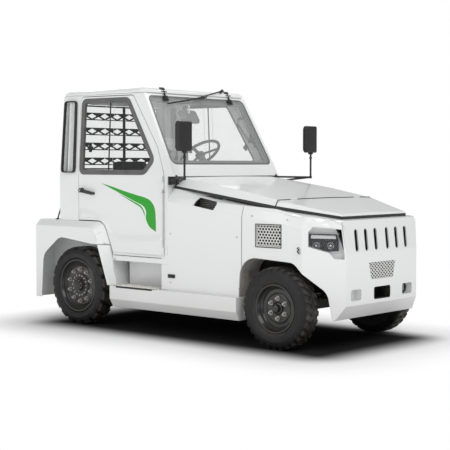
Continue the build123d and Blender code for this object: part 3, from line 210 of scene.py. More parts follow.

# Chassis: box rails, beam axle and cast rear axle, brushed with satin black
# chassis paint with patches of road dust. The mudguards, above the rails, are a
# pale grey-brown, a painted shade: white paint darkened as it looks in shade, with patches of the same dust.
chassis_paint, tree = new_material("satin_chassis_paint")
place = add_node(tree, "ShaderNodeTexCoord").outputs["Object"]
grit = add_node(tree, "ShaderNodeTexNoise", inputs={"Vector": place, "Scale": 14, "Detail": 6}).outputs[0]
spread = add_node(tree, "ShaderNodeMapRange",
                  inputs={"Value": grit, "From Min": 0.42, "From Max": 0.7}).outputs[0]
rough = add_node(tree, "ShaderNodeMapRange", inputs={"Value": grit, "To Min": 0.42, "To Max": 0.72})
dents = add_node(tree, "ShaderNodeBump", inputs={"Height": grit, "Strength": 0.15, "Distance": 0.002})
height = add_node(tree, "ShaderNodeSeparateXYZ", inputs={0: place}).outputs["Z"]
guard = add_node(tree, "ShaderNodeMath", {"operation": "GREATER_THAN"}, {0: height, 1: 0.56})
# The second pair of tones, for the mudguards, is a painted shade: white paint shown grey-brown, drifting with
# the dust noise.
black, coat = (add_node(tree, "ShaderNodeMix", {"data_type": "RGBA"},
                        {0: spread, 6: linear(clean), 7: linear(dusty)}).outputs[2]
               for clean, dusty in (("1B1B1B", "35322E"), ("C4C1BB", "94908A")))
both = add_node(tree, "ShaderNodeMix", {"data_type": "RGBA"}, {0: guard.outputs[0], 6: black, 7: coat})
finished(tree, add_node(tree, "ShaderNodeBsdfPrincipled", inputs={
    "Base Color": both.outputs[2], "Roughness": rough.outputs[0], "Normal": dents.outputs[0],
}))


def coating(name, drift, tones, sockets, grain=None):
    """A finish whose tone drifts over the surface, with a grain if asked.

    drift is the scale and detail of the noise that leads from the first tone
    to the second. A socket's pair of values follows the same noise. grain is
    a texture with its settings and inputs, and its strength and depth.
    """
    material, tree = new_material(name)
    place = add_node(tree, "ShaderNodeTexCoord").outputs["Object"]
    noise = {"Vector": place, "Scale": drift[0], "Detail": drift[1]}
    cloud = add_node(tree, "ShaderNodeTexNoise", inputs=noise).outputs[0]
    first, *second = tones.split()
    inputs = {"Base Color": linear(first)}
    if second:
        ends = {0: cloud, 6: linear(first), 7: linear(second[0])}
        inputs["Base Color"] = add_node(tree, "ShaderNodeMix", {"data_type": "RGBA"}, ends).outputs[2]
    for key, value in sockets.items():
        if isinstance(value, tuple):
            ends = {"Value": cloud, "To Min": value[0], "To Max": value[1]}
            value = add_node(tree, "ShaderNodeMapRange", inputs=ends).outputs[0]
        inputs[key] = value
    if grain:
        kind, settings, scales, strength, depth = grain
        pores = add_node(tree, kind, settings, {"Vector": place, **scales}).outputs[0]
        inputs["Normal"] = add_node(tree, "ShaderNodeBump", inputs={
            "Height": pores, "Strength": strength, "Distance": depth,
        }).outputs[0]
    finished(tree, add_node(tree, "ShaderNodeBsdfPrincipled", inputs=inputs))
    return material


frame_paint = coating("satin_frame_paint", (14, 6), "191919 302E2B", {"Roughness": 0.5})

# Cast iron under thin black paint: the sand of the mould shows through it.
cast_paint = coating("painted_cast_iron", (9, 4), "171717 3A3733", {"Roughness": 0.58},
                     ("ShaderNodeTexNoise", {}, {"Scale": 320, "Detail": 3}, 0.35, 0.001))


def paint_nodes(names, material):
    """Gives its material to each node that is shown as it is."""
    for name in names:
        nodes[name].data.materials.clear()
        nodes[name].data.materials.append(material)


paint_nodes(("chassis_frame", "front_axle", "front_tow_pocket"), chassis_paint)
paint_nodes(("rear_axle", "knuckle_right", "knuckle_left", "tie_rod"), cast_paint)
paint_nodes(("battery_block",), frame_paint)


def block(bm, low, high):
    """A box between two opposite corners."""
    low, high = Vector(low), Vector(high)
    shape = Matrix.Diagonal((*[abs(side) for side in high - low], 1))
    bmesh.ops.create_cube(bm, size=1, matrix=Matrix.Translation((low + high) / 2) @ shape)


def rod(bm, start, end, radius, sides=20, tip=None):
    """A round bar between two points, or a cone down to the tip's radius."""
    start, end = Vector(start), Vector(end)
    stand = (end - start).to_track_quat("Z", "Y").to_matrix().to_4x4()
    bmesh.ops.create_cone(
        bm, cap_ends=True, segments=sides, radius1=radius, radius2=radius if tip is None else tip,
        depth=(end - start).length, matrix=Matrix.Translation((start + end) / 2) @ stand,
    )


def fitting(name, material, body, slot, edge=0.0, blocks=(), rods=(), sides=(-1, 1)):
    """A piece of boxes and round bars, made alike for each side."""
    bm = bmesh.new()
    for side in sides:
        for ends in blocks:
            block(bm, *[(x, side * y, z) for x, y, z in ends])
        for start, end, *sizes in rods:
            rod(bm, *[(x, side * y, z) for x, y, z in (start, end)], *sizes)
    return make_piece(name, bm, material, body, slot, edge)


def pushed(bm, made):
    """Extrudes the faces on these corners and gives back the new corners."""
    faces = list({face for vert in made for face in vert.link_faces})
    grown = bmesh.ops.extrude_face_region(bm, geom=faces)["geom"]
    return [item for item in grown if isinstance(item, bmesh.types.BMVert)]


# Leaf springs: five flat leaves a side, shorter downwards, clamped to each
# axle by two U-bolts under a plate.
front_hub, rear_hub = (1.278, 0.680, 0.338), (-1.122, 0.670, 0.366)
spring_y, leaf_pitch, leaf_thickness = 0.36, 0.011, 0.009
for name, (axle_x, _, axle_z), span in (
    ("front_springs", front_hub, 0.62), ("rear_springs", rear_hub, 0.66),
):
    bm = bmesh.new()
    for side in (-1, 1):
        y = side * spring_y
        for leaf in range(5):
            spot = Matrix.Translation((axle_x, y, axle_z + 0.085 - leaf * leaf_pitch))
            shape = Matrix.Diagonal((span / 2 * (1 - 0.16 * leaf), 0.03, 1, 1))
            leaf_grid = bmesh.ops.create_grid(bm, x_segments=12, y_segments=1, size=1, matrix=spot @ shape)
            made = leaf_grid["verts"]
            for vert in made:
                vert.co.z += 0.06 * ((vert.co.x - axle_x) / (span / 2)) ** 2
            bmesh.ops.translate(bm, verts=pushed(bm, made), vec=(0, 0, -leaf_thickness))
        for x in (axle_x - 0.055, axle_x + 0.055):
            for bolt_y in (y - 0.038, y + 0.038):
                rod(bm, (x, bolt_y, axle_z - 0.05), (x, bolt_y, axle_z + 0.11), 0.007, 10)
        block(bm, (axle_x - 0.08, y - 0.05, axle_z + 0.088), (axle_x + 0.08, y + 0.05, axle_z + 0.10))
    make_piece(name, bm, chassis_paint, "root", "chassis_black", 0.001, outward=True)

# Tyres: moulded black rubber with rings on the sidewall and open shoulder lugs; the outer faces of the lugs
# are paler, a painted highlight broken up by dust patches, and the bead has picked up pale dust.
rubber, tree = new_material("tyre_rubber")
place = add_node(tree, "ShaderNodeTexCoord").outputs["Object"]
dust_and_painted_light = add_node(tree, "ShaderNodeTexNoise", inputs={
    "Vector": place, "Scale": 11, "Detail": 7, "Roughness": 0.62,
}).outputs[0]
patch = add_node(tree, "ShaderNodeMapRange", inputs={
    "Value": dust_and_painted_light, "From Min": 0.4, "From Max": 0.66, "To Min": 0.25, "To Max": 1.0,
}).outputs[0]
spot = add_node(tree, "ShaderNodeSeparateXYZ", inputs={0: place})
front = add_node(tree, "ShaderNodeMath", {"operation": "GREATER_THAN"},
                 {0: spot.outputs["X"], 1: 0.0}).outputs[0]
arm = {}
for axis, at_rear, at_front in (("X", rear_hub[0], front_hub[0]), ("Z", rear_hub[2], front_hub[2])):
    hub = add_node(tree, "ShaderNodeMath", {"operation": "MULTIPLY_ADD"},
                   {0: front, 1: at_front - at_rear, 2: at_rear}).outputs[0]
    arm[axis] = add_node(tree, "ShaderNodeMath", {"operation": "SUBTRACT"},
                         {0: spot.outputs[axis], 1: hub}).outputs[0]
arm = add_node(tree, "ShaderNodeCombineXYZ", inputs=arm).outputs[0]
radius = add_node(tree, "ShaderNodeVectorMath", {"operation": "LENGTH"}, {0: arm}).outputs["Value"]
share = add_node(tree, "ShaderNodeMath", {"operation": "DIVIDE"}, {0: radius, 1: hub}).outputs[0]
# Painted highlight with dust: the outer faces of the lugs turn pale; the bead turns pale with dust.
worn_and_painted_highlight, bead = (add_node(tree, "ShaderNodeMapRange", {"interpolation_type": "SMOOTHSTEP"},
                       {"Value": share, "From Min": start, "From Max": end}).outputs[0]
              for start, end in ((0.945, 0.985), (0.70, 0.60)))
pale = add_node(tree, "ShaderNodeMath", {"operation": "MAXIMUM"}, {0: worn_and_painted_highlight, 1: bead}).outputs[0]
dust_and_painted_highlight = add_node(tree, "ShaderNodeMath", {"operation": "MULTIPLY"}, {0: pale, 1: patch}).outputs[0]
tone = add_node(tree, "ShaderNodeMix", {"data_type": "RGBA"},
                {0: dust_and_painted_highlight, 6: linear("090909"), 7: linear("4B4742")})
grain = add_node(tree, "ShaderNodeTexNoise", inputs={"Vector": place, "Scale": 260, "Detail": 2}).outputs[0]
rough = add_node(tree, "ShaderNodeMapRange", inputs={"Value": dust_and_painted_light, "To Min": 0.38, "To Max": 0.7})
skin = add_node(tree, "ShaderNodeBump", inputs={"Height": grain, "Strength": 0.2, "Distance": 0.0012})
finished(tree, add_node(tree, "ShaderNodeBsdfPrincipled", inputs={
    "Base Color": tone.outputs[2], "Roughness": rough.outputs[0], "Normal": skin.outputs[0],
}))


def turned(rows, steps, closed=True):
    """Spins rows of radius and place along the axle about the Y axis."""
    bm = bmesh.new()
    ring = [bm.verts.new((radius, along, 0)) for radius, along in rows]
    edges = [bm.edges.new(pair) for pair in zip(ring, ring[1:] + ring[:1] if closed else ring[1:])]
    bmesh.ops.spin(bm, geom=ring + edges, cent=(0, 0, 0), axis=(0, 1, 0), angle=math.tau,
                   steps=steps, use_merge=True)
    bmesh.ops.remove_doubles(bm, verts=bm.verts, dist=1e-6)
    bmesh.ops.recalc_face_normals(bm, faces=bm.faces)
    return bm


def wheel_piece(name, bm, corner, material, slot, round_edge, node=None):
    """Moves a wheel part from the origin to its corner, mirrored to its side."""
    x, y, z = front_hub if "front" in corner else rear_hub
    side = 1 if "left" in corner else -1
    bmesh.ops.scale(bm, verts=bm.verts, vec=(1, side, 1))
    bmesh.ops.recalc_face_normals(bm, faces=bm.faces)
    bmesh.ops.translate(bm, verts=bm.verts, vec=(x, side * y, z))
    obj = make_piece(name, bm, material, f"wheel_{corner}", slot, round_edge)
    if node:
        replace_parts(obj, node)


# radius, half width, bead radius, lug depth, lugs round, lug share, lug slant,
# and where the lugs begin across the tread
tyre_sizes = {
    "front": (0.338, 0.095, 0.190, 0.010, 30, 0.60, 0.10, 0.20),
    "rear": (0.366, 0.100, 0.235, 0.015, 19, 0.74, 0.12, 0.05),
}
wheel_corners = ("front_right", "front_left", "rear_right", "rear_left")
sidewall = [(0.10, 0.90), (0.13, 0.925), (0.16, 0.925), (0.19, 0.95), (0.38, 0.995), (0.52, 0.995),
            (0.55, 1.0), (0.58, 0.985), (0.74, 0.95), (0.88, 0.86)]
crown_share = 0.66
for corner in wheel_corners:
    kind = corner.split("_")[0]
    outer, half, bead, lug, count, share, slant, lug_start = tyre_sizes[kind]
    floor_r, flange = outer - lug, bead + 0.014
    rise = floor_r - flange
    rows = [(flange - 0.004, half * 0.74), (flange + 0.004, half * 0.80),
            *[(flange + rise * up, half * out) for up, out in sidewall],
            (floor_r - 0.006, half * 0.78), (floor_r, half * 0.60)]
    bm = turned(rows + [(r, -a) for r, a in reversed(rows)], 120)
    for side in (-1, 1):
        for k in range(count):
            turn = math.tau * (k + side * 0.25) / count
            arc = math.tau / count * share
            made = bmesh.ops.create_grid(bm, x_segments=7, y_segments=2, size=1)["verts"]
            grown = pushed(bm, made)
            for vert in made + grown:
                across = (vert.co.x + 1) / 2
                along = half * (lug_start + across * (0.965 - lug_start))
                sweep = turn + vert.co.y * arc / 2 * (1 - 0.12 * across) + slant * (across - 0.5) * side
                drop = max(0.0, along / half - crown_share) / (1 - crown_share)
                radius = outer - (outer - flange - rise * 0.60) * drop ** 2.2
                radius -= 0 if vert in grown else lug + 0.004
                vert.co = (radius * math.cos(sweep), side * along, radius * math.sin(sweep))
    if kind == "front":
        # zigzag ribs in the middle of the tread
        for rib in (-0.5, 0.5):
            made = bmesh.ops.create_grid(bm, x_segments=120, y_segments=1, size=1)["verts"]
            grown = pushed(bm, made)
            for vert in made + grown:
                step = round((vert.co.x + 1) * 60)
                sweep = step / 120 * math.tau
                along = rib * 0.022 + vert.co.y * 0.0075 + (0.004 if step % 4 < 2 else -0.004)
                radius = outer - (0 if vert in grown else lug + 0.004)
                vert.co = (radius * math.cos(sweep), along, radius * math.sin(sweep))
    bmesh.ops.recalc_face_normals(bm, faces=bm.faces)
    wheel_piece(f"tyre_{corner}_dressed", bm, corner, rubber, "tyre_rubber", 0.0016, f"tyre_{corner}")

# Disc wheels: pressed steel in black enamel, a deep dish with a rolled edge.
# Zinc-plated fasteners: bright, with a faint grey bloom. Olive hub cover of
# the driven wheels: a pressed cap in dull enamel.
black_enamel = coating("black_wheel_enamel", (18, 5), "101010 2A2826",
                       {"Roughness": (0.22, 0.5), "Coat Weight": 0.4, "Coat Roughness": 0.15})
zinc = coating("zinc_plate", (90, 2), "D2D0CA A9A7A2", {"Metallic": 1.0, "Roughness": 0.32})
olive = coating("olive_cap_enamel", (30, 3), "20241A 2E3326", {"Roughness": 0.45})


def around(count, radius, shift=0.0):
    """Places on a circle round the axle, the first one shifted by a share."""
    turns = [math.tau * (step + shift) / count for step in range(count)]
    return [(radius * math.cos(turn), radius * math.sin(turn)) for turn in turns]


# disc radius, seat of the hub, wheel nuts, their ring, hub radius, disc face
disc_sizes = {"front": (0.120, 0.040, 6, 0.082, 0.034, 0.022),
              "rear": (0.186, 0.050, 10, 0.150, 0.058, 0.030)}
for corner in wheel_corners:
    kind = corner.split("_")[0]
    half, bead = tyre_sizes[kind][1:3]
    disc, seat, nuts, nut_ring, hub, face = disc_sizes[kind]
    bm = turned([
        (bead + 0.013, half * 0.70), (bead + 0.014, half * 0.82), (bead + 0.009, half * 0.86),
        (bead - 0.001, half * 0.86), (bead - 0.006, half * 0.80), (bead - 0.010, half * 0.66),
        (bead - 0.016, half * 0.60), (bead - 0.017, half * 0.52), (bead - 0.024, half * 0.46),
        (bead - 0.028, face + 0.018), (bead - 0.034, face + 0.008), (disc + 0.008, face + 0.004),
        (disc, face + 0.012), (disc - 0.010, face + 0.014), (nut_ring + 0.02, face + 0.012),
        (hub + 0.02, face + 0.012), (hub + 0.018, face + 0.004), (hub + 0.018, face - 0.006),
        (disc - 0.01, face - 0.004), (disc + 0.008, face - 0.010), (bead - 0.040, face - 0.004),
        (bead - 0.034, -half * 0.3), (bead - 0.012, -half * 0.66), (bead - 0.001, -half * 0.86),
        (bead + 0.014, -half * 0.82), (bead + 0.013, -half * 0.70), (bead - 0.002, -half * 0.68),
        (bead - 0.024, -half * 0.3), (bead - 0.018, half * 0.3), (bead - 0.002, half * 0.68),
    ], 96)
    wheel_piece(f"rim_{corner}_dressed", bm, corner, black_enamel, "rim_black", 0, f"rim_{corner}")
    rows = [(0.0, seat + 0.040), (hub * 0.55, seat + 0.039), (hub * 0.86, seat + 0.034), (hub, seat + 0.024)]
    if kind == "rear":
        rows += [(hub, seat + 0.008), (0.070, seat + 0.006), (0.075, seat), (0.108, face + 0.020),
                 (0.112, face + 0.016), (0.112, face), (0.0, face)]
    else:
        rows += [(hub, face + 0.02), (hub + 0.012, face + 0.016), (hub + 0.014, face), (0.0, face)]
    wheel_piece(f"hub_{corner}", turned(rows, 64), corner, black_enamel, "rim_black", 0.001)
    if kind == "rear":
        bm = turned([(0.0, seat + 0.0425), (0.040, seat + 0.0425), (0.046, seat + 0.040),
                     (0.047, seat + 0.034), (0.0, seat + 0.034)], 48)
        wheel_piece(f"hub_cap_{corner}", bm, corner, olive, "rim_black", 0.0008)
    bm = bmesh.new()
    for x, z in around(nuts, nut_ring, 0.5):
        rod(bm, (x, face + 0.012, z), (x, face + 0.016, z), 0.019, 24)
        rod(bm, (x, face + 0.016, z), (x, face + 0.034, z), 0.0155, 6, 0.0145)
        rod(bm, (x, face + 0.034, z), (x, face + 0.045, z), 0.0085, 14, 0.007)
    if kind == "rear":
        for x, z in around(16, 0.094):
            rod(bm, (x, face + 0.018, z), (x, face + 0.032, z), 0.0075, 6)
        for x, z in around(8, 0.053, 0.5):
            rod(bm, (x, seat + 0.02, z), (x, seat + 0.038, z), 0.004, 6)
    # the valve
    rod(bm, (bead - 0.03, half * 0.40, 0.02), (bead - 0.012, half * 0.66, 0.025), 0.004, 10, 0.003)
    wheel_piece(f"wheel_nuts_{corner}", bm, corner, zinc, "rim_black", 0.0006)

# Drum brakes behind the wheels: cast drums on the axle ends.
for corner in wheel_corners:
    drum = 0.13 if "front" in corner else 0.175
    bm = turned([(0.04, 0.012), (drum - 0.01, 0.012), (drum, 0.004), (drum, -0.052), (drum + 0.008, -0.054),
                 (drum + 0.008, -0.060), (0.04, -0.060)], 48)
    wheel_piece(f"brake_drum_{corner}", bm, corner, cast_paint, "axle_cast", 0.001)

# Bonnet seal: an extruded rubber section, matt black, pressed on the bay's
# edge; it shows as one dark line under the bonnet.
seal_rubber = coating("extruded_seal_rubber", (40, 4), "1E1E1E 3B3B3A", {"Roughness": 0.62})
panel("bonnet_seal", "bonnet_seal_strip", seal_rubber, "root", "seal_rubber", 0.002)

# Mesh grilles: expanded sheet in pale enamel. Behind them, sheets in black powder coat, an even texture with
# little gloss, that close the bay off and stand in for its dark inside: painted shade.
mesh_paint = coating("pale_grille_enamel", (26, 4), "EEEEEC CFCFCC", {"Roughness": 0.42})
powder = coating("black_powder_coat", (7, 3), "141414 242424", {"Roughness": 0.5},
                 ("ShaderNodeTexNoise", {}, {"Scale": 420, "Detail": 2}, 0.3, 0.0006))
half_width = 0.725


def join(bm, part, place=None):
    """Adds a finished part to a piece, moved to its place."""
    bmesh.ops.transform(part, matrix=place or Matrix(), verts=part.verts)
    temp = bpy.data.meshes.new("part")
    part.to_mesh(temp)
    part.free()
    bm.from_mesh(temp)
    bpy.data.meshes.remove(temp)


def cut_off(sheet, spot, way):
    """Trims a flat sheet at a line, on the side that the way points to."""
    geometry = [*sheet.verts, *sheet.edges, *sheet.faces]
    bmesh.ops.bisect_plane(sheet, geom=geometry, plane_co=spot, plane_no=way, clear_outer=True)


def thicken(sheet, thickness):
    """Gives a loose sheet its thickness and turns its faces outwards."""
    sheet.normal_update()
    bmesh.ops.solidify(sheet, geom=list(sheet.faces), thickness=thickness)
    bmesh.ops.recalc_face_normals(sheet, faces=sheet.faces)


def band(bm, points, place, width, thickness):
    """A ring inside an outline: its width across, its thickness behind."""
    face = bm.faces.new([bm.verts.new(place(*point)) for point in points])
    face.normal_update()
    ring = bmesh.ops.inset_region(bm, faces=[face], thickness=width, use_boundary=True, use_even_offset=True)
    bmesh.ops.delete(bm, geom=[face], context="FACES")
    bmesh.ops.solidify(bm, geom=ring["faces"], thickness=thickness)


def rectangle(low, high, *radius):
    """The corners of an upright rectangle, each with its radius if given."""
    corners = ((low[0], low[1]), (high[0], low[1]), (high[0], high[1]), (low[0], high[1]))
    return [(a, b, *radius) for a, b in corners]


def lattice(bm, low, high, pitch, upright, bar, place, thickness, cuts=()):
    """Open mesh between two corners, of staggered hexagons or diamonds.

    Its cells are inset by half a bar and opened; slivers at the rim stay shut.
    """
    sheet = bmesh.new()
    wide, step = pitch
    slant = step - upright
    for row in range(-1, int((high[1] - low[1]) / step) + 2):
        for column in range(-1, int((high[0] - low[0]) / wide) + 2):
            a = low[0] + (column + (0.5 if row % 2 else 0)) * wide
            b = low[1] + row * step
            ring = [(a + wide / 2, b + upright / 2), (a, b + upright / 2 + slant),
                    (a - wide / 2, b + upright / 2), (a - wide / 2, b - upright / 2),
                    (a, b - upright / 2 - slant), (a + wide / 2, b - upright / 2)]
            if not upright:
                ring = [ring[0], ring[1], ring[2], ring[4]]
            sheet.faces.new([sheet.verts.new((*point, 0)) for point in ring])
    bmesh.ops.remove_doubles(sheet, verts=sheet.verts, dist=0.0001)
    cell = max(face.calc_area() for face in sheet.faces)
    for spot, way in ((low, (-1, 0)), (high, (1, 0)), (low, (0, -1)), (high, (0, 1)), *cuts):
        cut_off(sheet, (*spot, 0), (*way, 0))
    open_cells = [face for face in sheet.faces if face.calc_area() > 0.42 * cell]
    bmesh.ops.inset_individual(sheet, faces=open_cells, thickness=bar / 2, use_even_offset=True)
    bmesh.ops.delete(sheet, geom=open_cells, context="FACES")
    for vert in sheet.verts:
        vert.co = place(vert.co.x, vert.co.y)
    thicken(sheet, thickness)
    join(bm, sheet)


bm = bmesh.new()
for side in (-1, 1):
    lattice(bm, (1.057, 0.836), (1.309, 1.010), (0.0315, 0.0236), 0.0118, 0.0085,
            lambda a, b: Vector((a, side * (half_width - 0.0095), b)), side * -0.003)
    band(bm, rectangle((1.046, 0.825), (1.320, 1.021)), lambda a, b: (a, side * (half_width - 0.0090), b),
         0.0115, 0.004)
top, foot = (0.199, 0.709), (0.161, 0.566)
flare = Vector((top[1] - foot[1], foot[0] - top[0])).normalized()
lattice(bm, (-top[0], foot[1]), top, (0.0420, 0.0152), 0.0, 0.0078,
        lambda a, b: Vector((1.8035, a, b)), 0.003, ((top, flare), ((-top[0], top[1]), (-flare.x, flare.y))))
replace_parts(make_piece("grille_mesh", bm, mesh_paint, "root", "grille_black"), "grilles")

# Slot walls: the returns of the six upright slots, bent in from the plate.
slot_radius, slot_reach, slot_z, return_depth = 0.0245, 0.066, 0.8955, 0.008
bm = bmesh.new()
for y in (-0.083, 0.083, -0.220, 0.220, -0.356, 0.356):
    ring = []
    for step in range(32):
        turn = step * math.tau / 32
        z = slot_z + (slot_reach if math.sin(turn) >= 0 else -slot_reach) + slot_radius * math.sin(turn)
        x = 1.8048 - max(0.0, z - 0.790) * 0.03 / 0.266
        ring.append(bm.verts.new((x, y + slot_radius * math.cos(turn), z)))
    edges = [bm.edges.new(pair) for pair in zip(ring, ring[1:] + ring[:1])]
    for item in bmesh.ops.extrude_edge_only(bm, edges=edges)["geom"]:
        if isinstance(item, bmesh.types.BMVert):
            item.co.x -= return_depth
thicken(bm, -0.0015)
make_piece("slot_returns", bm, enamel, "root", "body_white")

# Black sheets behind the side grilles, the lower nose grille and the slots: painted shade for the dark bay.
screen_y = half_width - 0.026
bm = bmesh.new()
for side in (-1, 1):
    block(bm, (1.045, side * (screen_y - 0.002), 0.822), (1.321, side * (screen_y + 0.002), 1.024))
block(bm, (1.772, -0.215, 0.555), (1.776, 0.215, 0.722))
block(bm, (1.752, -0.415, 0.785), (1.756, 0.415, 1.005))
make_piece("grille_painted_shade_sheets", bm, powder, "root", "grille_black")

# Rubber edging round the side grilles, flat on the panel.
near, far = half_width - 0.0005, half_width + 0.0035
fitting("side_grille_edging", seal_rubber, "root", "grille_black", 0.001, [
    ((1.046, near, 0.826), (1.053, far, 1.020)), ((1.313, near, 0.826), (1.320, far, 1.020)),
    ((1.046, near, 0.826), (1.320, far, 0.833)), ((1.046, near, 1.013), (1.320, far, 1.020)),
])

# Vents in the shoulders: black woven screens held behind the slots, and a
# pale baffle behind them.
low_x, high_x, low_z, high_z, wire = 0.338, 0.608, 1.109, 1.232, 0.0028
upright_x = [low_x + (high_x - low_x) * line / 18 for line in range(19)]
cross_wires = [(0.669 - 0.028 * line / 8, low_z + 0.122 * line / 8) for line in range(9)]
fitting("shoulder_vent_screens", powder, "root", "grille_black", rods=[
    *[((x, 0.667, low_z), (x, 0.640, high_z), wire, 6) for x in upright_x],
    *[((low_x, y, z), (high_x, y, z), wire, 6) for y, z in cross_wires],
])
fitting("shoulder_vent_baffles", mesh_paint, "root", "body_white", 0,
        [((0.325, 0.610, 1.085), (0.62, 0.614, 1.262))])

# Headlamps: a clear moulded lens over a dark bezel with two projectors, a
# chromed reflector and a light bar, in a white recess of the nose.
lens = coating("clear_polycarbonate", (60, 2), "6E7476",
               {"Roughness": (0.02, 0.07), "Alpha": 0.10, "IOR": 1.58})
chrome = coating("vacuum_chrome", (35, 2), "DADCDD", {"Metallic": 1.0, "Roughness": (0.06, 0.16)})
bezel = coating("dark_lamp_bezel", (50, 2), "16181A 26292B", {"Roughness": 0.24})
lit = coating("light_guide_acrylic", (80, 2), "F6F8FA E2E6EA", {"Roughness": 0.15})
facet_turn = math.atan(0.75)


def facet_frame(side):
    """Matrix from along, out of and up the corner facet to the vehicle."""
    return Matrix((
        (math.cos(facet_turn), math.sin(facet_turn), 0, 1.530),
        (-side * math.sin(facet_turn), side * math.cos(facet_turn), 0, side * half_width),
        (0, 0, 1, 0), (0, 0, 0, 1),
    ))


def prism(bm, outline, depth, frame_matrix):
    """Extrudes an outline of (a, b) points from out=depth[0] to depth[1]."""
    ring = [bm.verts.new((a, depth[0], b)) for a, b in outline]
    bm.faces.new(ring)
    top = pushed(bm, ring)
    bmesh.ops.translate(bm, verts=top, vec=(0, depth[1] - depth[0], 0))
    bmesh.ops.transform(bm, matrix=frame_matrix, verts=ring + top)


def lip(bm, outline, depth, frame_matrix, thickness):
    """A wall along each edge of an outline."""
    for first, second in zip(outline, outline[1:] + outline[:1]):
        step = Vector(second) - Vector(first)
        shift = Vector((-step.y, step.x)).normalized() * thickness
        prism(bm, [first, second, Vector(second) + shift, Vector(first) + shift], depth, frame_matrix)


recess = [
    (0.085, 1.009), (0.048, 0.969), (0.048, 0.850), (0.171, 0.814), (0.217, 0.802), (0.256, 0.756),
    (0.335, 0.750), (0.335, 0.790), (0.311, 0.988),
]
recess_back = [(a + (0.006 if a > 0.2 else -0.006), b + (0.006 if b > 0.9 else -0.006)) for a, b in recess]
lamp_face = [
    (0.052, 0.952), (0.052, 0.862), (0.170, 0.820), (0.222, 0.812), (0.292, 0.815), (0.290, 0.905),
    (0.276, 0.946),
]
bowl_rows = [(0.009, -0.056), (0.022, -0.050), (0.027, -0.040), (0.029, -0.040), (0.029, -0.058)]
projectors, projector_z = (0.112, 0.226), 0.858
for part, paint_used, slot, round_edge, prisms in (
    ("housing", enamel, "body_white", 0.001, [(recess_back, (-0.079, -0.075))]),
    ("bezel", bezel, "lamp_lens", 0.002, [
        (lamp_face, (-0.074, -0.052)), (rectangle((0.056, 0.898), (0.284, 0.906)), (-0.054, -0.036)),
        (rectangle((0.168, 0.824), (0.174, 0.902)), (-0.054, -0.036)),
    ]),
    ("reflectors", chrome, "lamp_lens", 0.001, [
        ([(0.070, 0.914), (0.270, 0.910), (0.266, 0.938), (0.072, 0.944)], (-0.053, -0.044)),
    ]),
    ("light_bars", lit, "lamp_lens", 0.002, [
        ([(0.068, 0.921), (0.268, 0.917), (0.267, 0.931), (0.069, 0.936)], (-0.044, -0.036)),
    ]),
    ("lenses", lens, "lamp_lens", 0.004, [(lamp_face, (-0.030, -0.024))]),
):
    bm = bmesh.new()
    for side in (-1, 1):
        spot = facet_frame(side)
        for outline, depth in prisms:
            prism(bm, outline, depth, spot)
        if part == "housing":
            lip(bm, recess, (-0.078, -0.0085), spot, 0.003)
        if part == "lenses":
            lip(bm, lamp_face, (-0.052, -0.028), spot, 0.004)
        for centre in projectors:
            if part == "reflectors":
                join(bm, turned(bowl_rows, 32, False), spot @ Matrix.Translation((centre, 0, projector_z)))
            if part == "light_bars":
                ball = bmesh.ops.create_uvsphere(bm, u_segments=24, v_segments=12, radius=0.009)["verts"]
                place = spot @ Matrix.Translation((centre, -0.042, projector_z))
                bmesh.ops.transform(bm, matrix=place, verts=ball)
    piece = make_piece(f"headlamp_{part}", bm, paint_used, "root", slot, round_edge, outward=True)
    if part == "housing":
        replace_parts(piece, "headlamps")


def hoop(bm, radius, wire, corners_round, steps, place):
    """A round wire ring that stands across the Y axis, moved to its place."""
    rows = [(radius + a, b) for a, b in around(corners_round, wire)]
    join(bm, turned(rows, steps), place)


# Nose fittings: boxes behind the bumper holes with a towing eye in the left
# one, cast in one piece and painted black.
fitting("bumper_boxes", enamel, "root", "body_white", 0.001, [
    ((1.742, 0.292, 0.406), (1.801, 0.297, 0.504)), ((1.742, 0.447, 0.406), (1.801, 0.452, 0.504)),
    ((1.742, 0.292, 0.404), (1.801, 0.452, 0.409)), ((1.742, 0.292, 0.501), (1.801, 0.452, 0.506)),
    ((1.738, 0.292, 0.404), (1.743, 0.452, 0.506)),
])
eye_y = 0.372
bm = bmesh.new()
upright = Matrix.Rotation(math.radians(90), 4, "Z")
hoop(bm, 0.036, 0.010, 12, 36, Matrix.Translation((1.766, eye_y, 0.458)) @ upright)
rod(bm, (1.745, eye_y, 0.424), (1.775, eye_y, 0.424), 0.012)
make_piece("towing_eye", bm, cast_paint, "root", "hitch_cast", 0.001)

# Front tow pin: a turned steel pin with a ring, standing in the pocket.
fitting("front_tow_pin", zinc, "root", "hitch_cast", 0.001, sides=(1,), rods=[
    ((1.696, 0, 0.385), (1.696, 0, 0.520), 0.0132), ((1.696, 0, 0.376), (1.696, 0, 0.386), 0.0132, 20, 0.009),
    ((1.696, 0, 0.519), (1.696, 0, 0.530), 0.024),
])

# Lid seam: a black rubber rod along the gap across the bonnet, a painted shadow that darkens the seam line,
# and the round rubber buffers under the lip of the lid.
seam_x = 1.227
seam_crown = [(0.655 * step / 6, 1.2145 + 0.006 * (1 - (step / 6) ** 2)) for step in range(-6, 7)]
seam_rows = [(-0.689, 1.1665), (-0.657, 1.2115), *seam_crown, (0.657, 1.2115), (0.689, 1.1665)]
seam = [(seam_x, y, z) for y, z in seam_rows]
fitting("lid_seam_painted_shadow", seal_rubber, "bonnet", "seal_rubber", sides=(1,),
        rods=[(start, end, 0.0034, 8) for start, end in zip(seam, seam[1:])])
fitting("bonnet_buffers", seal_rubber, "root", "seal_rubber", 0.001,
        rods=[((1.716, y, 1.066), (1.716, y, 1.084), 0.012, 16) for y in (0.20, 0.38)])

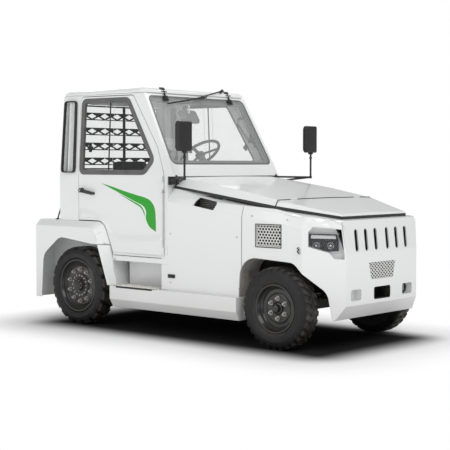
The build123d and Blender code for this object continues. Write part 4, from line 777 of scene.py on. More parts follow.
# Window glass: clear tempered sheet, faintly grey, that shows the studio and the cab behind it; the edges
# are held in rubber. The windscreen is laminated; its glass is paler and less clear,
# a painted reflection of the bright studio.
glass = coating("tempered_glass", (3, 3), "7C8482",
                {"Roughness": (0.01, 0.04), "Alpha": (0.05, 0.08), "IOR": 1.52})
# Painted reflection: a pale, less clear colour on the windscreen.
painted_reflection_glass = coating("windscreen_glass_painted_reflection", (3, 3), "DFE4E2",
                    {"Roughness": (0.02, 0.06), "Alpha": (0.15, 0.20), "IOR": 1.52})
paint_nodes(("windscreen_glass",), painted_reflection_glass)
paint_nodes(("cab_glass", "door_glass_right", "door_glass_left"), glass)

# Window rubber: extruded clamping section, grey with bloom in the light,
# pressed over the edge of the sheet metal round each opening.
window_rubber = coating("window_clamping_rubber", (9, 4), "4C4C4B 717170", {"Roughness": 0.5},
                        ("ShaderNodeTexNoise", {}, {"Scale": 300, "Detail": 2}, 0.2, 0.0006))
waist, lean = 1.412, math.tan(math.radians(2.9))


def on_flank(side, out=0.0):
    """Places (x, z) on a cab flank, which leans in above the waist."""
    return lambda a, b: Vector((a, side * (half_width + out - max(0.0, b - waist) * lean), b))


def grown(rows, amount):
    """Rows of a, b and radius with every edge moved outwards.

    They run anticlockwise; a clockwise outline takes a negative amount.
    """
    corners = [Vector(row[:2]) for row in rows]
    result = []
    for i, (_, _, radius) in enumerate(rows):
        before = (corners[i] - corners[i - 1]).normalized()
        after = (corners[(i + 1) % len(rows)] - corners[i]).normalized()
        shift = Vector((before.y + after.y, -before.x - after.x)) / (1 + before.dot(after))
        convex = before.x * after.y > before.y * after.x
        wider = max(0.0, radius + (amount if convex else -amount)) if radius else 0.0
        result.append((*(corners[i] + shift * amount), wider))
    return result


def rounded(rows, steps=6):
    """The closed outline of such rows, its corners as arcs."""
    points = []
    for i, (a, b, radius) in enumerate(rows):
        corner = Vector((a, b))
        before = (Vector(rows[i - 1][:2]) - corner).normalized()
        after = (Vector(rows[(i + 1) % len(rows)][:2]) - corner).normalized()
        if not radius:
            points.append(corner)
            continue
        half = before.angle(after) / 2
        centre = corner + (before + after).normalized() * radius / math.sin(half)
        start = corner + before * radius / math.tan(half) - centre
        end = corner + after * radius / math.tan(half) - centre
        points += [centre + start.slerp(end, step / steps) * radius for step in range(steps + 1)]
    return points


def plate(bm, points, place, thickness):
    """A flat plate with the given outline, thickened behind its face."""
    face = bm.faces.new([bm.verts.new(place(*point)) for point in points])
    face.normal_update()
    bmesh.ops.solidify(bm, geom=[face], thickness=thickness)


def mm(rows):
    return [tuple(value / 1000 for value in row) for row in rows]


flanks = ((-1, "right"), (1, "left"))
door_rows = mm([(-250, 1424, 90), (-134, 1545, 60), (-484, 2104, 76), (-1098, 2108, 46), (-1106, 1424, 46)])
quarter_rows = mm([(-1350, 1432, 28), (-1330, 2100, 28), (-1176, 2100, 28), (-1176, 1432, 28)])
for side, tail in flanks:
    for opening, rows, out, width, depth, material, body, edge in (
        ("door", grown(door_rows, 0.013), 0.005, 0.046, 0.030, window_rubber, f"{tail}_door", 0.003),
        ("quarter", grown(quarter_rows, -0.004), 0.003, 0.011, 0.028, seal_rubber, "root", 0.002),
    ):
        bm = bmesh.new()
        band(bm, rounded(rows), on_flank(side, out), width, side * -depth)
        make_piece(f"{opening}_window_rubber_{tail}", bm, material, body, "seal_rubber", edge, outward=True)

# Sliding panes of the doors: a dark meeting rail, thin pale rods along the cut edges of both sheets,
# a painted highlight of the light caught in the glass edges, and a black moulded latch at each end.
for side, tail in flanks:
    inner = on_flank(side, -0.026)
    bm = bmesh.new()
    rod(bm, inner(-0.746, 1.445), inner(-0.746, 2.085), 0.009, 4)
    for x, z, wide, high in ((-1.005, 1.662, 0.026, 0.082), (-0.262, 1.672, 0.026, 0.060)):
        y = inner(x, z).y
        block(bm, (x - wide / 2, y - 0.010, z - high / 2), (x + wide / 2, y + 0.010, z + high / 2))
        block(bm, (x - wide, y - 0.014, z - 0.012), (x + wide, y + 0.014, z + 0.012))
    make_piece(f"sliding_pane_fittings_{tail}", bm, powder, f"{tail}_door", "dash_plastic", 0.003)
    # Pale rods on the glass edges: a painted highlight.
    fitting(f"sliding_pane_edge_highlights_{tail}", lit, f"{tail}_door", "window_glass", sides=(1,),
            rods=[(inner(x, 1.45), inner(x, 2.08), 0.0014, 6) for x in (-0.806, -0.694)])

# Posts inside the quarter windows: white pressed posts behind the glass.
inner = on_flank(1, -0.052)
fitting("quarter_posts", enamel, "root", "body_white", 0.004,
        rods=[(inner(-1.300, 1.40), inner(-1.292, 2.13), 0.040, 4)])

# Windscreen: a top-hinged pane in a flat rubber, with a broad grey trim
# inside it, two black hinges, a wiper and an inner latch with its stay. The
# trim's moulded grain is drawn coarse enough to show.
screen_tilt = math.atan2(0.358, 0.647)
screen_up = Vector((-math.sin(screen_tilt), 0, math.cos(screen_tilt)))
screen_out = Vector((math.cos(screen_tilt), 0, math.sin(screen_tilt)))
screen_length = 0.7394


def on_screen(depth=0.0):
    """Places (y, height up the slope) on the windscreen's outer plane."""
    foot = Vector((0.068, 0, 1.503)) - screen_out * depth
    return lambda a, b: foot + screen_up * b + Vector((0, a, 0))


screen_rows = [(-0.692, 0.004, 0.060), (0.692, 0.004, 0.060),
               (0.650, screen_length - 0.022, 0.060), (-0.650, screen_length - 0.022, 0.060)]
trim_grey = coating("moulded_trim_grey", (6, 3), "4E4E4D 6A6A68", {"Roughness": 0.55},
                    ("ShaderNodeTexVoronoi", {}, {"Scale": 420}, 0.25, 0.0006))
for part, inset, depth, width, thickness, material, slot, edge in (
    ("rubber", 0.003, 0.0035, 0.012, 0.010, window_rubber, "seal_rubber", 0.002),
    ("trim", 0.004, 0.026, 0.052, 0.012, trim_grey, "dash_plastic", 0.003),
):
    bm = bmesh.new()
    band(bm, rounded(grown(screen_rows, -inset)), on_screen(depth), width, thickness)
    make_piece(f"windscreen_{part}", bm, material, "root", slot, edge, outward=True)
bm = bmesh.new()
outer = on_screen(-0.012)
for y in (-0.440, 0.440):
    for low, high, wide in ((screen_length + 0.012, screen_length + 0.060, 0.030), (0.660, 0.700, 0.034)):
        plate(bm, rectangle((y - wide, low), (y + wide, high)), on_screen(-0.010), 0.008)
        for bolt_y in (y - wide * 0.5, y + wide * 0.5):
            spot = outer(bolt_y, (low + high) / 2)
            rod(bm, spot - screen_out * 0.004, spot + screen_out * 0.007, 0.007, 6)
    rod(bm, outer(y, 0.668), outer(y, screen_length + 0.036), 0.008)
    rod(bm, outer(y - 0.034, screen_length + 0.010), outer(y + 0.034, screen_length + 0.010), 0.009)
    rod(bm, outer(y - 0.020, 0.700), outer(y + 0.020, 0.700), 0.010)
make_piece("windscreen_hinges", bm, powder, "root", "chassis_black", 0.001, outward=True)
wiper = on_screen(-0.030)
pivot, elbow = wiper(0.363, screen_length + 0.052), wiper(-0.060, 0.688)
blade_start, blade_end = wiper(-0.464, 0.618), wiper(0.105, 0.712)
bm = bmesh.new()
rod(bm, pivot - screen_out * 0.035, pivot + screen_out * 0.010, 0.015)
rod(bm, pivot, elbow, 0.0075, 8, 0.004)
rod(bm, blade_start, blade_end, 0.006, 6)
rod(bm, blade_start - screen_out * 0.014, blade_end - screen_out * 0.014, 0.004, 4)
for share in (0.12, 0.35, 0.62, 0.88):
    spot = blade_start.lerp(blade_end, share)
    rod(bm, spot - screen_out * 0.014, spot + screen_out * 0.006, 0.005, 6)
rod(bm, elbow, blade_start.lerp(blade_end, 0.5), 0.007, 8)
make_piece("wiper", bm, powder, "root", "chassis_black", 0.0008, outward=True)


def bent_wire(bm, points, radius, sides, segments, rings):
    """A round wire through the points, with a ball in each bend."""
    for start, end in zip(points, points[1:]):
        rod(bm, start, end, radius, sides)
        ball = bmesh.ops.create_uvsphere(bm, u_segments=segments, v_segments=rings, radius=radius)
        bmesh.ops.translate(bm, verts=ball["verts"], vec=end)


# Inside the windscreen: the driver's mirror on a white stem, a grab handle
# on the left pillar, the pane's latch with its stay, and a round fan.
bm = bmesh.new()
mirror_face = [(-0.205, 0.500, 0.035), (0.045, 0.505, 0.035), (0.040, 0.645, 0.035), (-0.200, 0.640, 0.035)]
plate(bm, rounded(mirror_face), on_screen(0.105), 0.018)
make_piece("driver_mirror", bm, trim_grey, "root", "mirror_plastic", 0.006, outward=True)
fitting("driver_mirror_stem", enamel, "root", "body_white", 0.001, sides=(1,), rods=[
    (on_screen(0.10)(-0.080, 0.600), on_screen(0.045)(-0.072, 0.715), 0.009),
    (on_screen(0.045)(-0.072, 0.700), on_screen(0.035)(-0.072, 0.725), 0.022),
])
bm = bmesh.new()
handle = [(0.640, 0.300), (0.560, 0.325), (0.512, 0.480), (0.560, 0.545), (0.634, 0.552)]
bent_wire(bm, [on_screen(0.060)(*point) for point in handle], 0.0115, 20, 12, 8)
make_piece("grab_handle", bm, trim_grey, "root", "dash_plastic")
bm = bmesh.new()
inner = on_screen(0.050)
plate(bm, [(0.622, 0.225), (0.662, 0.225), (0.655, 0.365), (0.615, 0.365)], inner, 0.016)
plate(bm, [(0.575, 0.285), (0.630, 0.280), (0.628, 0.330), (0.580, 0.335)], on_screen(0.056), 0.022)
rod(bm, inner(0.640, 0.250), inner(0.655, 0.035), 0.008)
rod(bm, inner(0.600, 0.345), inner(0.655, 0.375), 0.007)
rod(bm, inner(0.648, 0.030), inner(0.662, 0.020), 0.018)
make_piece("pane_latch", bm, powder, "root", "dash_plastic", 0.002, outward=True)

fan_hub, fan_axis = Vector((-0.235, -0.430, 1.625)), Vector((0.86, 0.36, -0.10)).normalized()
fan_turn = fan_axis.to_track_quat("Z", "Y").to_matrix().to_4x4()
guard_radius, guard_depth, guard_wire = 0.115, fan_axis * 0.022, 0.0016
bm = bmesh.new()
for radius in (guard_radius, 0.082, 0.050):
    for depth in (-guard_depth, guard_depth):
        level = fan_turn @ Matrix.Rotation(math.radians(90), 4, "X")
        hoop(bm, radius, 0.0025, 6, 40, Matrix.Translation(fan_hub + depth) @ level)
for spoke, (a, b) in enumerate(around(24, 1.0)):
    spoke_way = fan_turn @ Vector((a, b, 0))
    rim_spot = fan_hub + spoke_way * guard_radius
    for depth in (-guard_depth, guard_depth):
        rod(bm, fan_hub + spoke_way * 0.020 + depth, rim_spot + depth, guard_wire, 5)
    if spoke % 2:
        rod(bm, rim_spot - guard_depth, rim_spot + guard_depth, guard_wire, 5)
make_piece("fan_guard", bm, enamel, "root", "dash_plastic")
bm = bmesh.new()
rod(bm, fan_hub - fan_axis * 0.070, fan_hub + fan_axis * 0.018, 0.030)
rod(bm, fan_hub - fan_axis * 0.045, fan_hub + Vector((0.02, 0, -0.175)), 0.010)
rod(bm, fan_hub + Vector((0.02, 0, -0.170)), fan_hub + Vector((0.02, 0, -0.190)), 0.038)
for a, b in around(5, 1.0):
    blade_way = fan_turn @ Vector((a, b, 0))
    cross_way = fan_axis.cross(blade_way)
    blade = [(0.026, -0.012, -0.006), (0.026, 0.012, 0.006), (0.090, 0.034, 0.010), (0.096, -0.010, -0.010)]
    plate(bm, blade, lambda a, b, c: fan_hub + blade_way * a + cross_way * b + fan_axis * c, 0.0015)
make_piece("fan_motor", bm, trim_grey, "root", "dash_plastic")

# Rear guard: flat steel strips punched with diamonds, and with triangles
# between them along the lower edge, on an upright bar in a thin frame.
guard_low, guard_high = (Vector(corner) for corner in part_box("rear_guard"))
cell, strip_height, strip_pitch, strip_foot = 0.167, 0.074, 0.146, 1.500
diamond_half, diamond_rise, diamond_z = 0.058, 0.025, 0.041
notch_half, notch_foot, notch_rise = 0.056, 0.010, 0.025
half_cell = [
    (0, strip_height), (0, diamond_z + diamond_rise), (diamond_half, diamond_z),
    (0, diamond_z - diamond_rise),
    (0, 0), (cell / 2, 0), (cell / 2, notch_foot), (cell / 2 - notch_half, notch_foot),
    (cell / 2, notch_foot + notch_rise), (cell / 2, strip_height),
]
bm = bmesh.new()
for row in range(4):
    z = strip_foot + row * strip_pitch
    sheet = bmesh.new()
    for column in range(-4, 5):
        middle = -0.008 + column * cell
        for way in (-1, 1):
            ring = [sheet.verts.new((guard_low.x, middle + way * a, z + b)) for a, b in half_cell]
            sheet.faces.new(ring[::way])
    bmesh.ops.remove_doubles(sheet, verts=sheet.verts, dist=0.0001)
    for way in (-1, 1):
        cut_off(sheet, (0, way * (guard_high.y - 0.012), 0), (0, way, 0))
    thicken(sheet, 0.004)
    join(bm, sheet)
block(bm, (guard_low.x + 0.004, 0.063, guard_low.z), (guard_low.x + 0.009, 0.097, guard_high.z))
rim = rectangle((guard_low.y, guard_low.z), (guard_high.y, guard_high.z), 0.028)
band(bm, rounded(rim), lambda a, b: Vector((guard_high.x, a, b)), 0.014, 0.004)
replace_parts(make_piece("rear_guard_strips", bm, powder, "root", "chassis_black"), "rear_guard")

# Roof gutter: a folded drip rail round the roof pan, its shadow line is the
# dark edge over the doors.
roof_low, roof_high = (Vector(corner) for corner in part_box("cab_roof"))
bm = bmesh.new()
band(bm, rounded(grown(rectangle(roof_low, roof_high, 0.070), 0.006)),
     lambda a, b: Vector((a, b, roof_low.z + 0.012)), 0.010, 0.010)
make_piece("roof_gutter", bm, enamel, "root", "body_white", 0.002, outward=True)


# Door skins: the pressed belly of the lower door stands proud with soft
# edges, and a shallow oval dish lies behind the handle.
def smooth_line(points, steps=8):
    """A smooth curve through given points, as a fine row of points."""
    line = [Vector(p) / 1000 for p in points]
    ends = [line[0] * 2 - line[1], *line, line[-1] * 2 - line[-2]]
    fine = []
    for p0, p1, p2, p3 in zip(ends, ends[1:], ends[2:], ends[3:]):
        for step in range(steps):
            t = step / steps
            fine.append((p1 * 2 + (p2 - p0) * t + (p0 * 2 - p1 * 5 + p2 * 4 - p3) * t * t
                         + (p1 * 3 - p0 - p2 * 3 + p3) * t * t * t) / 2)
    return [*fine, line[-1]]


def level_at(line, x):
    """Height of a line of points, set from rear to front, at a place."""
    return next(a[1] + (b[1] - a[1]) * (x - a[0]) / (b[0] - a[0])
                for a, b in zip(line, line[1:]) if a[0] <= x <= b[0] + 1e-6)


crease = smooth_line([(-1112, 1100), (-960, 1084), (-830, 1050), (-735, 975), (-655, 905), (-520, 872),
                      (-260, 876), (-24, 890)])
belly_foot = mm([(-1112, 1004), (-830, 1000), (-772, 960), (-724, 880), (-680, 782), (-646, 694), (-24, 692)])
belly_rear, belly_length, belly_depth = -1.112, 1.088, 0.0135
dish_spot, dish_half = (-0.986, 1.252), (0.128, 0.052)
for side, tail in flanks:
    bm = bmesh.new()
    bmesh.ops.create_grid(bm, x_segments=72, y_segments=30, size=0.5)
    for vert in bm.verts:
        across, up = vert.co.x + 0.5, vert.co.y + 0.5
        x = belly_rear + belly_length * across
        low, top = level_at(belly_foot, x), level_at(crease, x)
        z = low + (top - low) * up
        end = min(across, 1 - across) * belly_length
        ramps = [min(1.0, value) for value in ((top - z) / 0.062, (z - low) / 0.016, end / 0.016)]
        swell = min(ramp * ramp * (3 - 2 * ramp) for ramp in ramps)
        vert.co = on_flank(side, 0.0004 + belly_depth * swell)(x, z)
    bmesh.ops.recalc_face_normals(bm, faces=bm.faces)
    if max(bm.faces, key=lambda face: face.calc_area()).normal.y * side < 0:
        bmesh.ops.reverse_faces(bm, faces=bm.faces)
    oval = [(dish_spot[0] + dish_half[0] * a, dish_spot[1] + dish_half[1] * b) for a, b in around(48, 1.0)]
    face = bm.faces.new([bm.verts.new(on_flank(side, 0.0003)(*point)) for point in oval])
    face.normal_update()
    if face.normal.y * side < 0:
        face.normal_flip()
    bmesh.ops.inset_region(bm, faces=[face], thickness=0.010, depth=0.0012, use_boundary=True)
    make_piece(f"door_pressing_{tail}", bm, enamel, f"{tail}_door", "body_white", 0, 80)

# Lever handles: black moulded levers with a keyed boss at the rear end.
lever = [(-1.086, 1.281, 0.014), (-0.905, 1.250, 0.014), (-0.899, 1.221, 0.014), (-1.086, 1.248, 0.014)]
lever_out = half_width + 0.030
for side, tail in flanks:
    bm = bmesh.new()
    rod(bm, (-1.075, side * half_width, 1.264), (-1.075, side * (lever_out + 0.008), 1.264), 0.024, 20, 0.021)
    rod(bm, (-0.915, side * half_width, 1.236), (-0.915, side * lever_out, 1.236), 0.012)
    plate(bm, rounded(lever), lambda a, b: Vector((a, side * (lever_out - 0.010), b)), -side * 0.014)
    piece = make_piece(f"door_lever_{tail}", bm, black_enamel, f"{tail}_door", "chassis_black", 0.003,
                       outward=True)
    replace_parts(piece, f"door_handle_{tail}")
    fitting(f"door_lock_{tail}", zinc, f"{tail}_door", "chassis_black", 0.0008, sides=(side,),
            rods=[((-1.075, lever_out + 0.007, 1.264), (-1.075, lever_out + 0.0095, 1.264), 0.011)])

# Hinge side: butt straps with bolts on the post, a thin pull rod between
# the hinges in its two guides.
strap_feet, strap_out, rod_y = (0.715, 1.290), half_width + 0.0045, 0.739
for side, tail in flanks:
    fitting(f"hinge_straps_{tail}", enamel, "root", "body_white", 0.0015, sides=(side,),
            blocks=[((0.004, half_width, low - 0.004), (0.034, strap_out, low + 0.064))
                    for low in strap_feet],
            rods=[((0.020, half_width, low + step), (0.020, half_width + 0.010, low + step), 0.006, 6)
                  for low in strap_feet for step in (0.014, 0.046)])
    fitting(f"hinge_rod_{tail}", zinc, "root", "chassis_black", sides=(side,), rods=[
        ((-0.004, rod_y, 0.776), (-0.004, rod_y, 1.289), 0.004, 10),
        ((-0.004, rod_y, 1.351), (-0.004, rod_y, 1.405), 0.004, 10),
        ((-0.004, 0.726, 1.262), (-0.004, 0.748, 1.262), 0.009, 12),
    ])

# Door decals: cut green film, one broad swoosh and a thin line below it,
# laid on both doors before the clear coat.
green_film = coating("cut_green_film", (5, 2), "079B0A 10A90F",
                     {"Roughness": 0.32, "Coat Weight": 0.3, "Coat Roughness": 0.1})
swoosh_top = [(-820, 1334), (-685, 1306), (-499, 1262), (-344, 1230), (-242, 1210), (-179, 1186),
              (-136, 1146), (-114, 1093), (-107, 1004), (-105, 907)]
swoosh_back = [(-105, 907), (-180, 945), (-216, 988), (-232, 1030), (-228, 1072), (-242, 1112),
               (-280, 1142), (-344, 1164), (-500, 1219), (-658, 1277), (-820, 1334)]
line_top = [(-590, 1242), (-396, 1176), (-306, 1142), (-266, 1108), (-250, 1076), (-240, 1036)]
line_back = [(-240, 1036), (-262, 1074), (-280, 1102), (-318, 1130), (-396, 1162), (-590, 1242)]
for side, tail in flanks:
    place_on = on_flank(side, 0.0006)
    bm = bmesh.new()
    for upper, under in ((swoosh_top, swoosh_back), (line_top, line_back)):
        back_points = smooth_line(under)[::-1]
        top_row = [bm.verts.new(place_on(*point)) for point in smooth_line(upper)]
        last = len(top_row) - 1
        back_row = [top_row[0]]
        for i in range(1, last):
            share = i / last * (len(back_points) - 1)
            low = int(share)
            spot = back_points[low].lerp(back_points[low + 1], share - low)
            back_row.append(bm.verts.new(place_on(*spot)))
        back_row.append(top_row[last])
        made = [bm.faces.new(dict.fromkeys((top_row[i], top_row[i + 1], back_row[i + 1], back_row[i])))
                for i in range(last)]
        bmesh.ops.recalc_face_normals(bm, faces=made)
        bmesh.ops.solidify(bm, geom=made, thickness=0.0005)
    make_piece(f"door_swoosh_{tail}", bm, green_film, f"{tail}_door", "body_white", outward=True)

# Steps: a dark serrated tread let into the sill with a solid black nosing,
# rows of bright studs on it, and folded white cheeks that close each well to
# the rear, to the front and beside the side panel.
tread_edge = 0.785
fitting("step_plates", powder, "root", "chassis_black", 0.001, [
    ((-0.596, tread_edge - 0.200, 0.3985), (-0.060, tread_edge, 0.4015)),
    ((-0.560, tread_edge - 0.006, 0.386), (-0.100, tread_edge + 0.003, 0.4015)),
])
studs = [(-0.582 + tooth * 0.0268 + (0.0134 if row % 2 else 0), 0.774 - row * 0.028)
         for row in range(7) for tooth in range(20)]
fitting("step_studs", zinc, "root", "chassis_black",
        rods=[((x, y, 0.400), (x, y, 0.4075), 0.0085, 8, 0.0060) for x, y in studs])
fitting("step_well_cheeks", enamel, "root", "body_white", 0, [
    ((-0.040, 0.520, 0.402), (-0.036, 0.722, 0.690)), ((-0.040, 0.716, 0.402), (0.034, 0.721, 0.690)),
    ((-0.690, 0.512, 0.402), (-0.598, 0.516, 0.690)),
])

# Seat covers: black contract vinyl with a fine leather grain, sewn in
# channels; foam fills the cushion and the back firmly.
vinyl = coating("black_grained_vinyl", (8, 4), "151515 2C2B2A", {"Roughness": (0.36, 0.55)},
                ("ShaderNodeTexVoronoi", {"feature": "DISTANCE_TO_EDGE"}, {"Scale": 330}, 0.35, 0.0015))


def pad(name, node, half, spot, channels, crown):
    """A sewn foam pad: crowned, pulled in at its sides, with sewn channels."""
    bm = bmesh.new()
    bmesh.ops.create_cube(bm, size=2)
    bmesh.ops.subdivide_edges(bm, edges=bm.edges, cuts=23, use_grid_fill=True)
    for vert in bm.verts:
        a, b, c = vert.co
        round_off = (abs(a) ** 6 + abs(b) ** 6 + abs(c) ** 6) ** (1 / 6)
        reach = 0.34 + 0.66 / max(round_off, 1.0)
        wide = a * reach * (1 - 0.035 * (1 - b * b))
        deep = b * reach * (1 - 0.035 * (1 - a * a))
        swell = (1 - crown * (a**4 + b**4) / 2) * (0.62 + 0.38 * (1 - a**8) * (1 - b**8))
        groove = sum(math.exp(-(((b - line) / 0.035) ** 2)) for line in channels) * (abs(a) < 0.93)
        seam = math.exp(-((c / 0.16) ** 2)) * 0.012 * (max(abs(a), abs(b)) > 0.97)
        high = c * reach * swell - (0.10 * groove if c > 0.8 else 0)
        vert.co = (wide * (1 - seam) * half[0], deep * (1 - seam) * half[1], high * half[2])
    bmesh.ops.transform(bm, matrix=spot, verts=bm.verts)
    piece = make_piece(name, bm, vinyl, "root", "seat_vinyl", 0, 180)
    fine = piece.modifiers.new("fine", "SUBSURF")
    fine.levels = 1
    fine.render_levels = 1
    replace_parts(piece, node)


cushion_low, cushion_high = (Vector(corner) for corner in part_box("seat_cushion"))
pad("seat_cushion_pad", "seat_cushion", (cushion_high - cushion_low) / 2 - Vector((0.006, 0.006, 0.002)),
    Matrix.Translation((cushion_low + cushion_high) / 2), (-0.45, 0.0, 0.45), 0.10)
back_foot, back_tilt, back_middle = (-1.1283, 0.090, 1.000), math.atan2(0.2, 0.98), (-0.050, 0, 0.290)
back_spot = (Matrix.Translation(back_foot) @ Matrix.Rotation(-back_tilt, 4, "Y")
             @ Matrix.Translation(back_middle) @ Matrix.Rotation(math.radians(90), 4, "Y"))
pad("seat_back_pad", "seat_back", (0.274, 0.230, 0.046), back_spot, (-0.5, 0.0, 0.5), 0.12)

# Seat frame: sprung base behind a rubber bellows, slide rails and a lever.
seat_low, seat_high = (Vector(corner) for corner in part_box("seat_base"))
fold_count, foot_height = 5, 0.090
rise = (seat_high.z - seat_low.z - 0.110) / fold_count
folds = []
for fold in range(fold_count):
    z = seat_low.z + foot_height + rise * fold
    for share, inset in ((0.0, 0.016), (0.5, 0.002)):
        folds.append(((seat_low.x + inset, seat_low.y + inset, z + rise * share),
                      (seat_high.x - inset, seat_high.y - inset, z + rise * (share + 0.5))))
fitting("seat_bellows", seal_rubber, "root", "seat_vinyl", 0.004, folds, sides=(1,))
bm = bmesh.new()
block(bm, (seat_low.x + 0.01, seat_low.y + 0.01, seat_low.z),
      (seat_high.x - 0.01, seat_high.y - 0.01, seat_low.z + foot_height))
block(bm, (seat_low.x, seat_low.y, seat_high.z - 0.020), seat_high)
for y in (seat_low.y + 0.05, seat_high.y - 0.05):
    block(bm, (seat_low.x - 0.02, y - 0.018, seat_high.z - 0.034),
          (seat_high.x + 0.03, y + 0.018, seat_high.z - 0.016))
lever_z = seat_high.z - 0.03
rod(bm, (seat_high.x + 0.02, seat_low.y + 0.04, lever_z),
    (seat_high.x + 0.06, seat_low.y + 0.08, lever_z), 0.006)
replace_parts(make_piece("seat_frame", bm, powder, "root", "chassis_black", 0.002), "seat_base")

# Dashboard: moulded in grained grey plastic, with an instrument face, a row
# of rocker switches and louvred outlets.
panel("dashboard", "dashboard_shell", trim_grey, "root", "dash_plastic", 0.010)
panel("steering_column", "steering_column_cover", trim_grey, "root", "dash_plastic", 0.002)
dial_way = Vector((-0.95, 0, 0.31)).normalized()
dial_up = Vector((0.31, 0, 0.95)).normalized()
bezels, marks = [], []
for y, bezel_radius, dial_radius, reading in (
    (0.010, 0.045, 0.040, -0.7), (0.170, 0.045, 0.040, 0.5), (0.090, 0.026, 0.022, 0.0),
):
    centre = Vector((-0.166, y, 1.378))
    bezels.append((centre - dial_way * 0.004, centre + dial_way * 0.007,
                   bezel_radius, 32, bezel_radius * 0.94))
    centre += dial_way * 0.0075
    for turn, start, end, wide in (
        *[(math.radians(-130 + tick * 26), 0.76, 0.92, 0.0009) for tick in range(11)],
        (reading, 0.0, 0.7, 0.0012),
    ):
        way = (dial_up * math.cos(turn) + Vector((0, math.sin(turn), 0))) * dial_radius
        marks.append((centre + way * start, centre + way * end, wide, 4))
fitting("instrument_bezels", bezel, "root", "dash_plastic", 0.0015, rods=bezels, sides=(1,))
fitting("instrument_marks", lit, "root", "dash_plastic", rods=marks, sides=(1,))
bm = bmesh.new()
for switch in range(6):
    y = -0.200 - switch * 0.046
    block(bm, (-0.190, y - 0.017, 1.262), (-0.172, y + 0.017, 1.312))
for outlet_y in (-0.545, 0.545):
    for louvre in range(6):
        z = 1.252 + louvre * 0.012
        block(bm, (-0.192, outlet_y - 0.055, z), (-0.176, outlet_y + 0.055, z + 0.006))
    for y in (outlet_y - 0.060, outlet_y + 0.056):
        block(bm, (-0.193, y, 1.246), (-0.176, y + 0.005, 1.326))
make_piece("dashboard_switches", bm, bezel, "root", "dash_plastic", 0.002)

# Steering wheel: rubber-covered steel ring with three flat spokes.
grip = coating("wheel_grip_rubber", (12, 3), "181818 2B2B2B", {"Roughness": (0.32, 0.52)})
panel("steering_wheel", "steering_wheel_ring", grip, "hand_wheel", "dash_plastic", 0.001, 40)
column_way = Vector((-math.sin(math.radians(38)), 0, math.cos(math.radians(38))))
wheel_hub = Vector((-0.330, 0.090, 1.600))
fitting("steering_hub_cap", trim_grey, "hand_wheel", "dash_plastic", 0.003, sides=(1,),
        rods=[(wheel_hub + column_way * 0.006, wheel_hub + column_way * 0.018, 0.040, 36, 0.034)])
bm = bmesh.new()
stalk_root = wheel_hub - column_way * 0.090
for side, reach, drop in ((-1, 0.150, 0.0), (1, 0.135, 0.02)):
    tip = stalk_root + Vector((-0.02, side * reach, -drop))
    rod(bm, stalk_root + Vector((0, side * 0.030, 0)), tip, 0.0055, 10)
    rod(bm, tip, tip + Vector((-0.003, side * 0.040, 0)), 0.0105, 14, 0.009)
make_piece("column_stalks", bm, powder, "root", "dash_plastic", 0.001)

# Floor: a ribbed rubber mat, two pedals with grip pads on their levers and
# the parking brake lever beside the seat.
ribs = [-0.610 + rib * 0.0232 for rib in range(26)]
fitting("floor_mat", seal_rubber, "root", "seal_rubber", 0.0008, [
    ((-0.625, -0.560, 0.6712), (-0.006, 0.560, 0.6750)),
    *[((x, -0.552, 0.6750), (x + 0.010, 0.552, 0.6775)) for x in ribs],
], sides=(1,))


def on_pedal(y, z):
    """Places (y, z) on the slope of the pedals' pads."""
    return Vector((-0.118 + (z - 0.78) * 0.55, y, z))


bm = bmesh.new()
for y, wide in ((0.010, 0.045), (-0.120, 0.030)):
    rod(bm, (0.010, y, 0.930), (-0.110, y, 0.790), 0.009, 12)
    plate(bm, rounded(rectangle((y - wide, 0.745), (y + wide, 0.820), 0.008)), on_pedal, 0.010)
    for rib in range(5):
        x, _, z = on_pedal(0, 0.753 + rib * 0.015)
        block(bm, (x - 0.007, y - wide + 0.006, z), (x - 0.002, y + wide - 0.006, z + 0.006))
make_piece("pedals", bm, powder, "root", "dash_plastic", 0.0015, outward=True)
lever_y = -0.240
fitting("parking_brake_lever", powder, "root", "dash_plastic", 0.002,
        [((-0.860, lever_y - 0.040, 0.671), (-0.720, lever_y + 0.040, 0.740))],
        [((-0.800, lever_y, 0.672), (-0.740, lever_y, 1.060), 0.010, 14),
         ((-0.744, lever_y, 1.030), (-0.722, lever_y, 1.150), 0.017, 18, 0.014)], (1,))

# Headliner: a grey moulded sheet clipped under the roof.
fitting("headliner", trim_grey, "root", "dash_plastic", 0.002,
        [((-1.300, -0.620, roof_low.z - 0.012), (-0.420, 0.620, roof_low.z - 0.006))], sides=(1,))

# Mirrors: moulded black housings on bent steel tube, with a silvered glass
# let into the rear face and bolted clamps at the head and the bracket.
panel("mirrors", "mirror_housings", powder, "root", "mirror_plastic", 0, 40)
silver = coating("silvered_glass", (30, 2), "D4D8D9", {"Metallic": 1.0, "Roughness": (0.01, 0.05)})
mirror_x, mirror_y, mirror_low, mirror_high, mirror_half = 0.390, 0.878, 1.618, 1.872, 0.080
glass_x = mirror_x - 0.029
for part, material, slot in (("glass", silver, "window_glass"), ("rims", powder, "mirror_plastic")):
    bm = bmesh.new()
    for y in (-mirror_y, mirror_y):
        rows = rectangle((y - mirror_half, mirror_low + 0.012), (y + mirror_half, mirror_high - 0.012), 0.020)
        if part == "glass":
            plate(bm, rounded(grown(rows, -0.008)), lambda a, b: Vector((glass_x - 0.0012, a, b)), -0.003)
        else:
            band(bm, rounded(rows), lambda a, b: Vector((glass_x - 0.0035, a, b)), 0.009, -0.007)
    make_piece(f"mirror_{part}", bm, material, "root", slot, 0.001, outward=True)
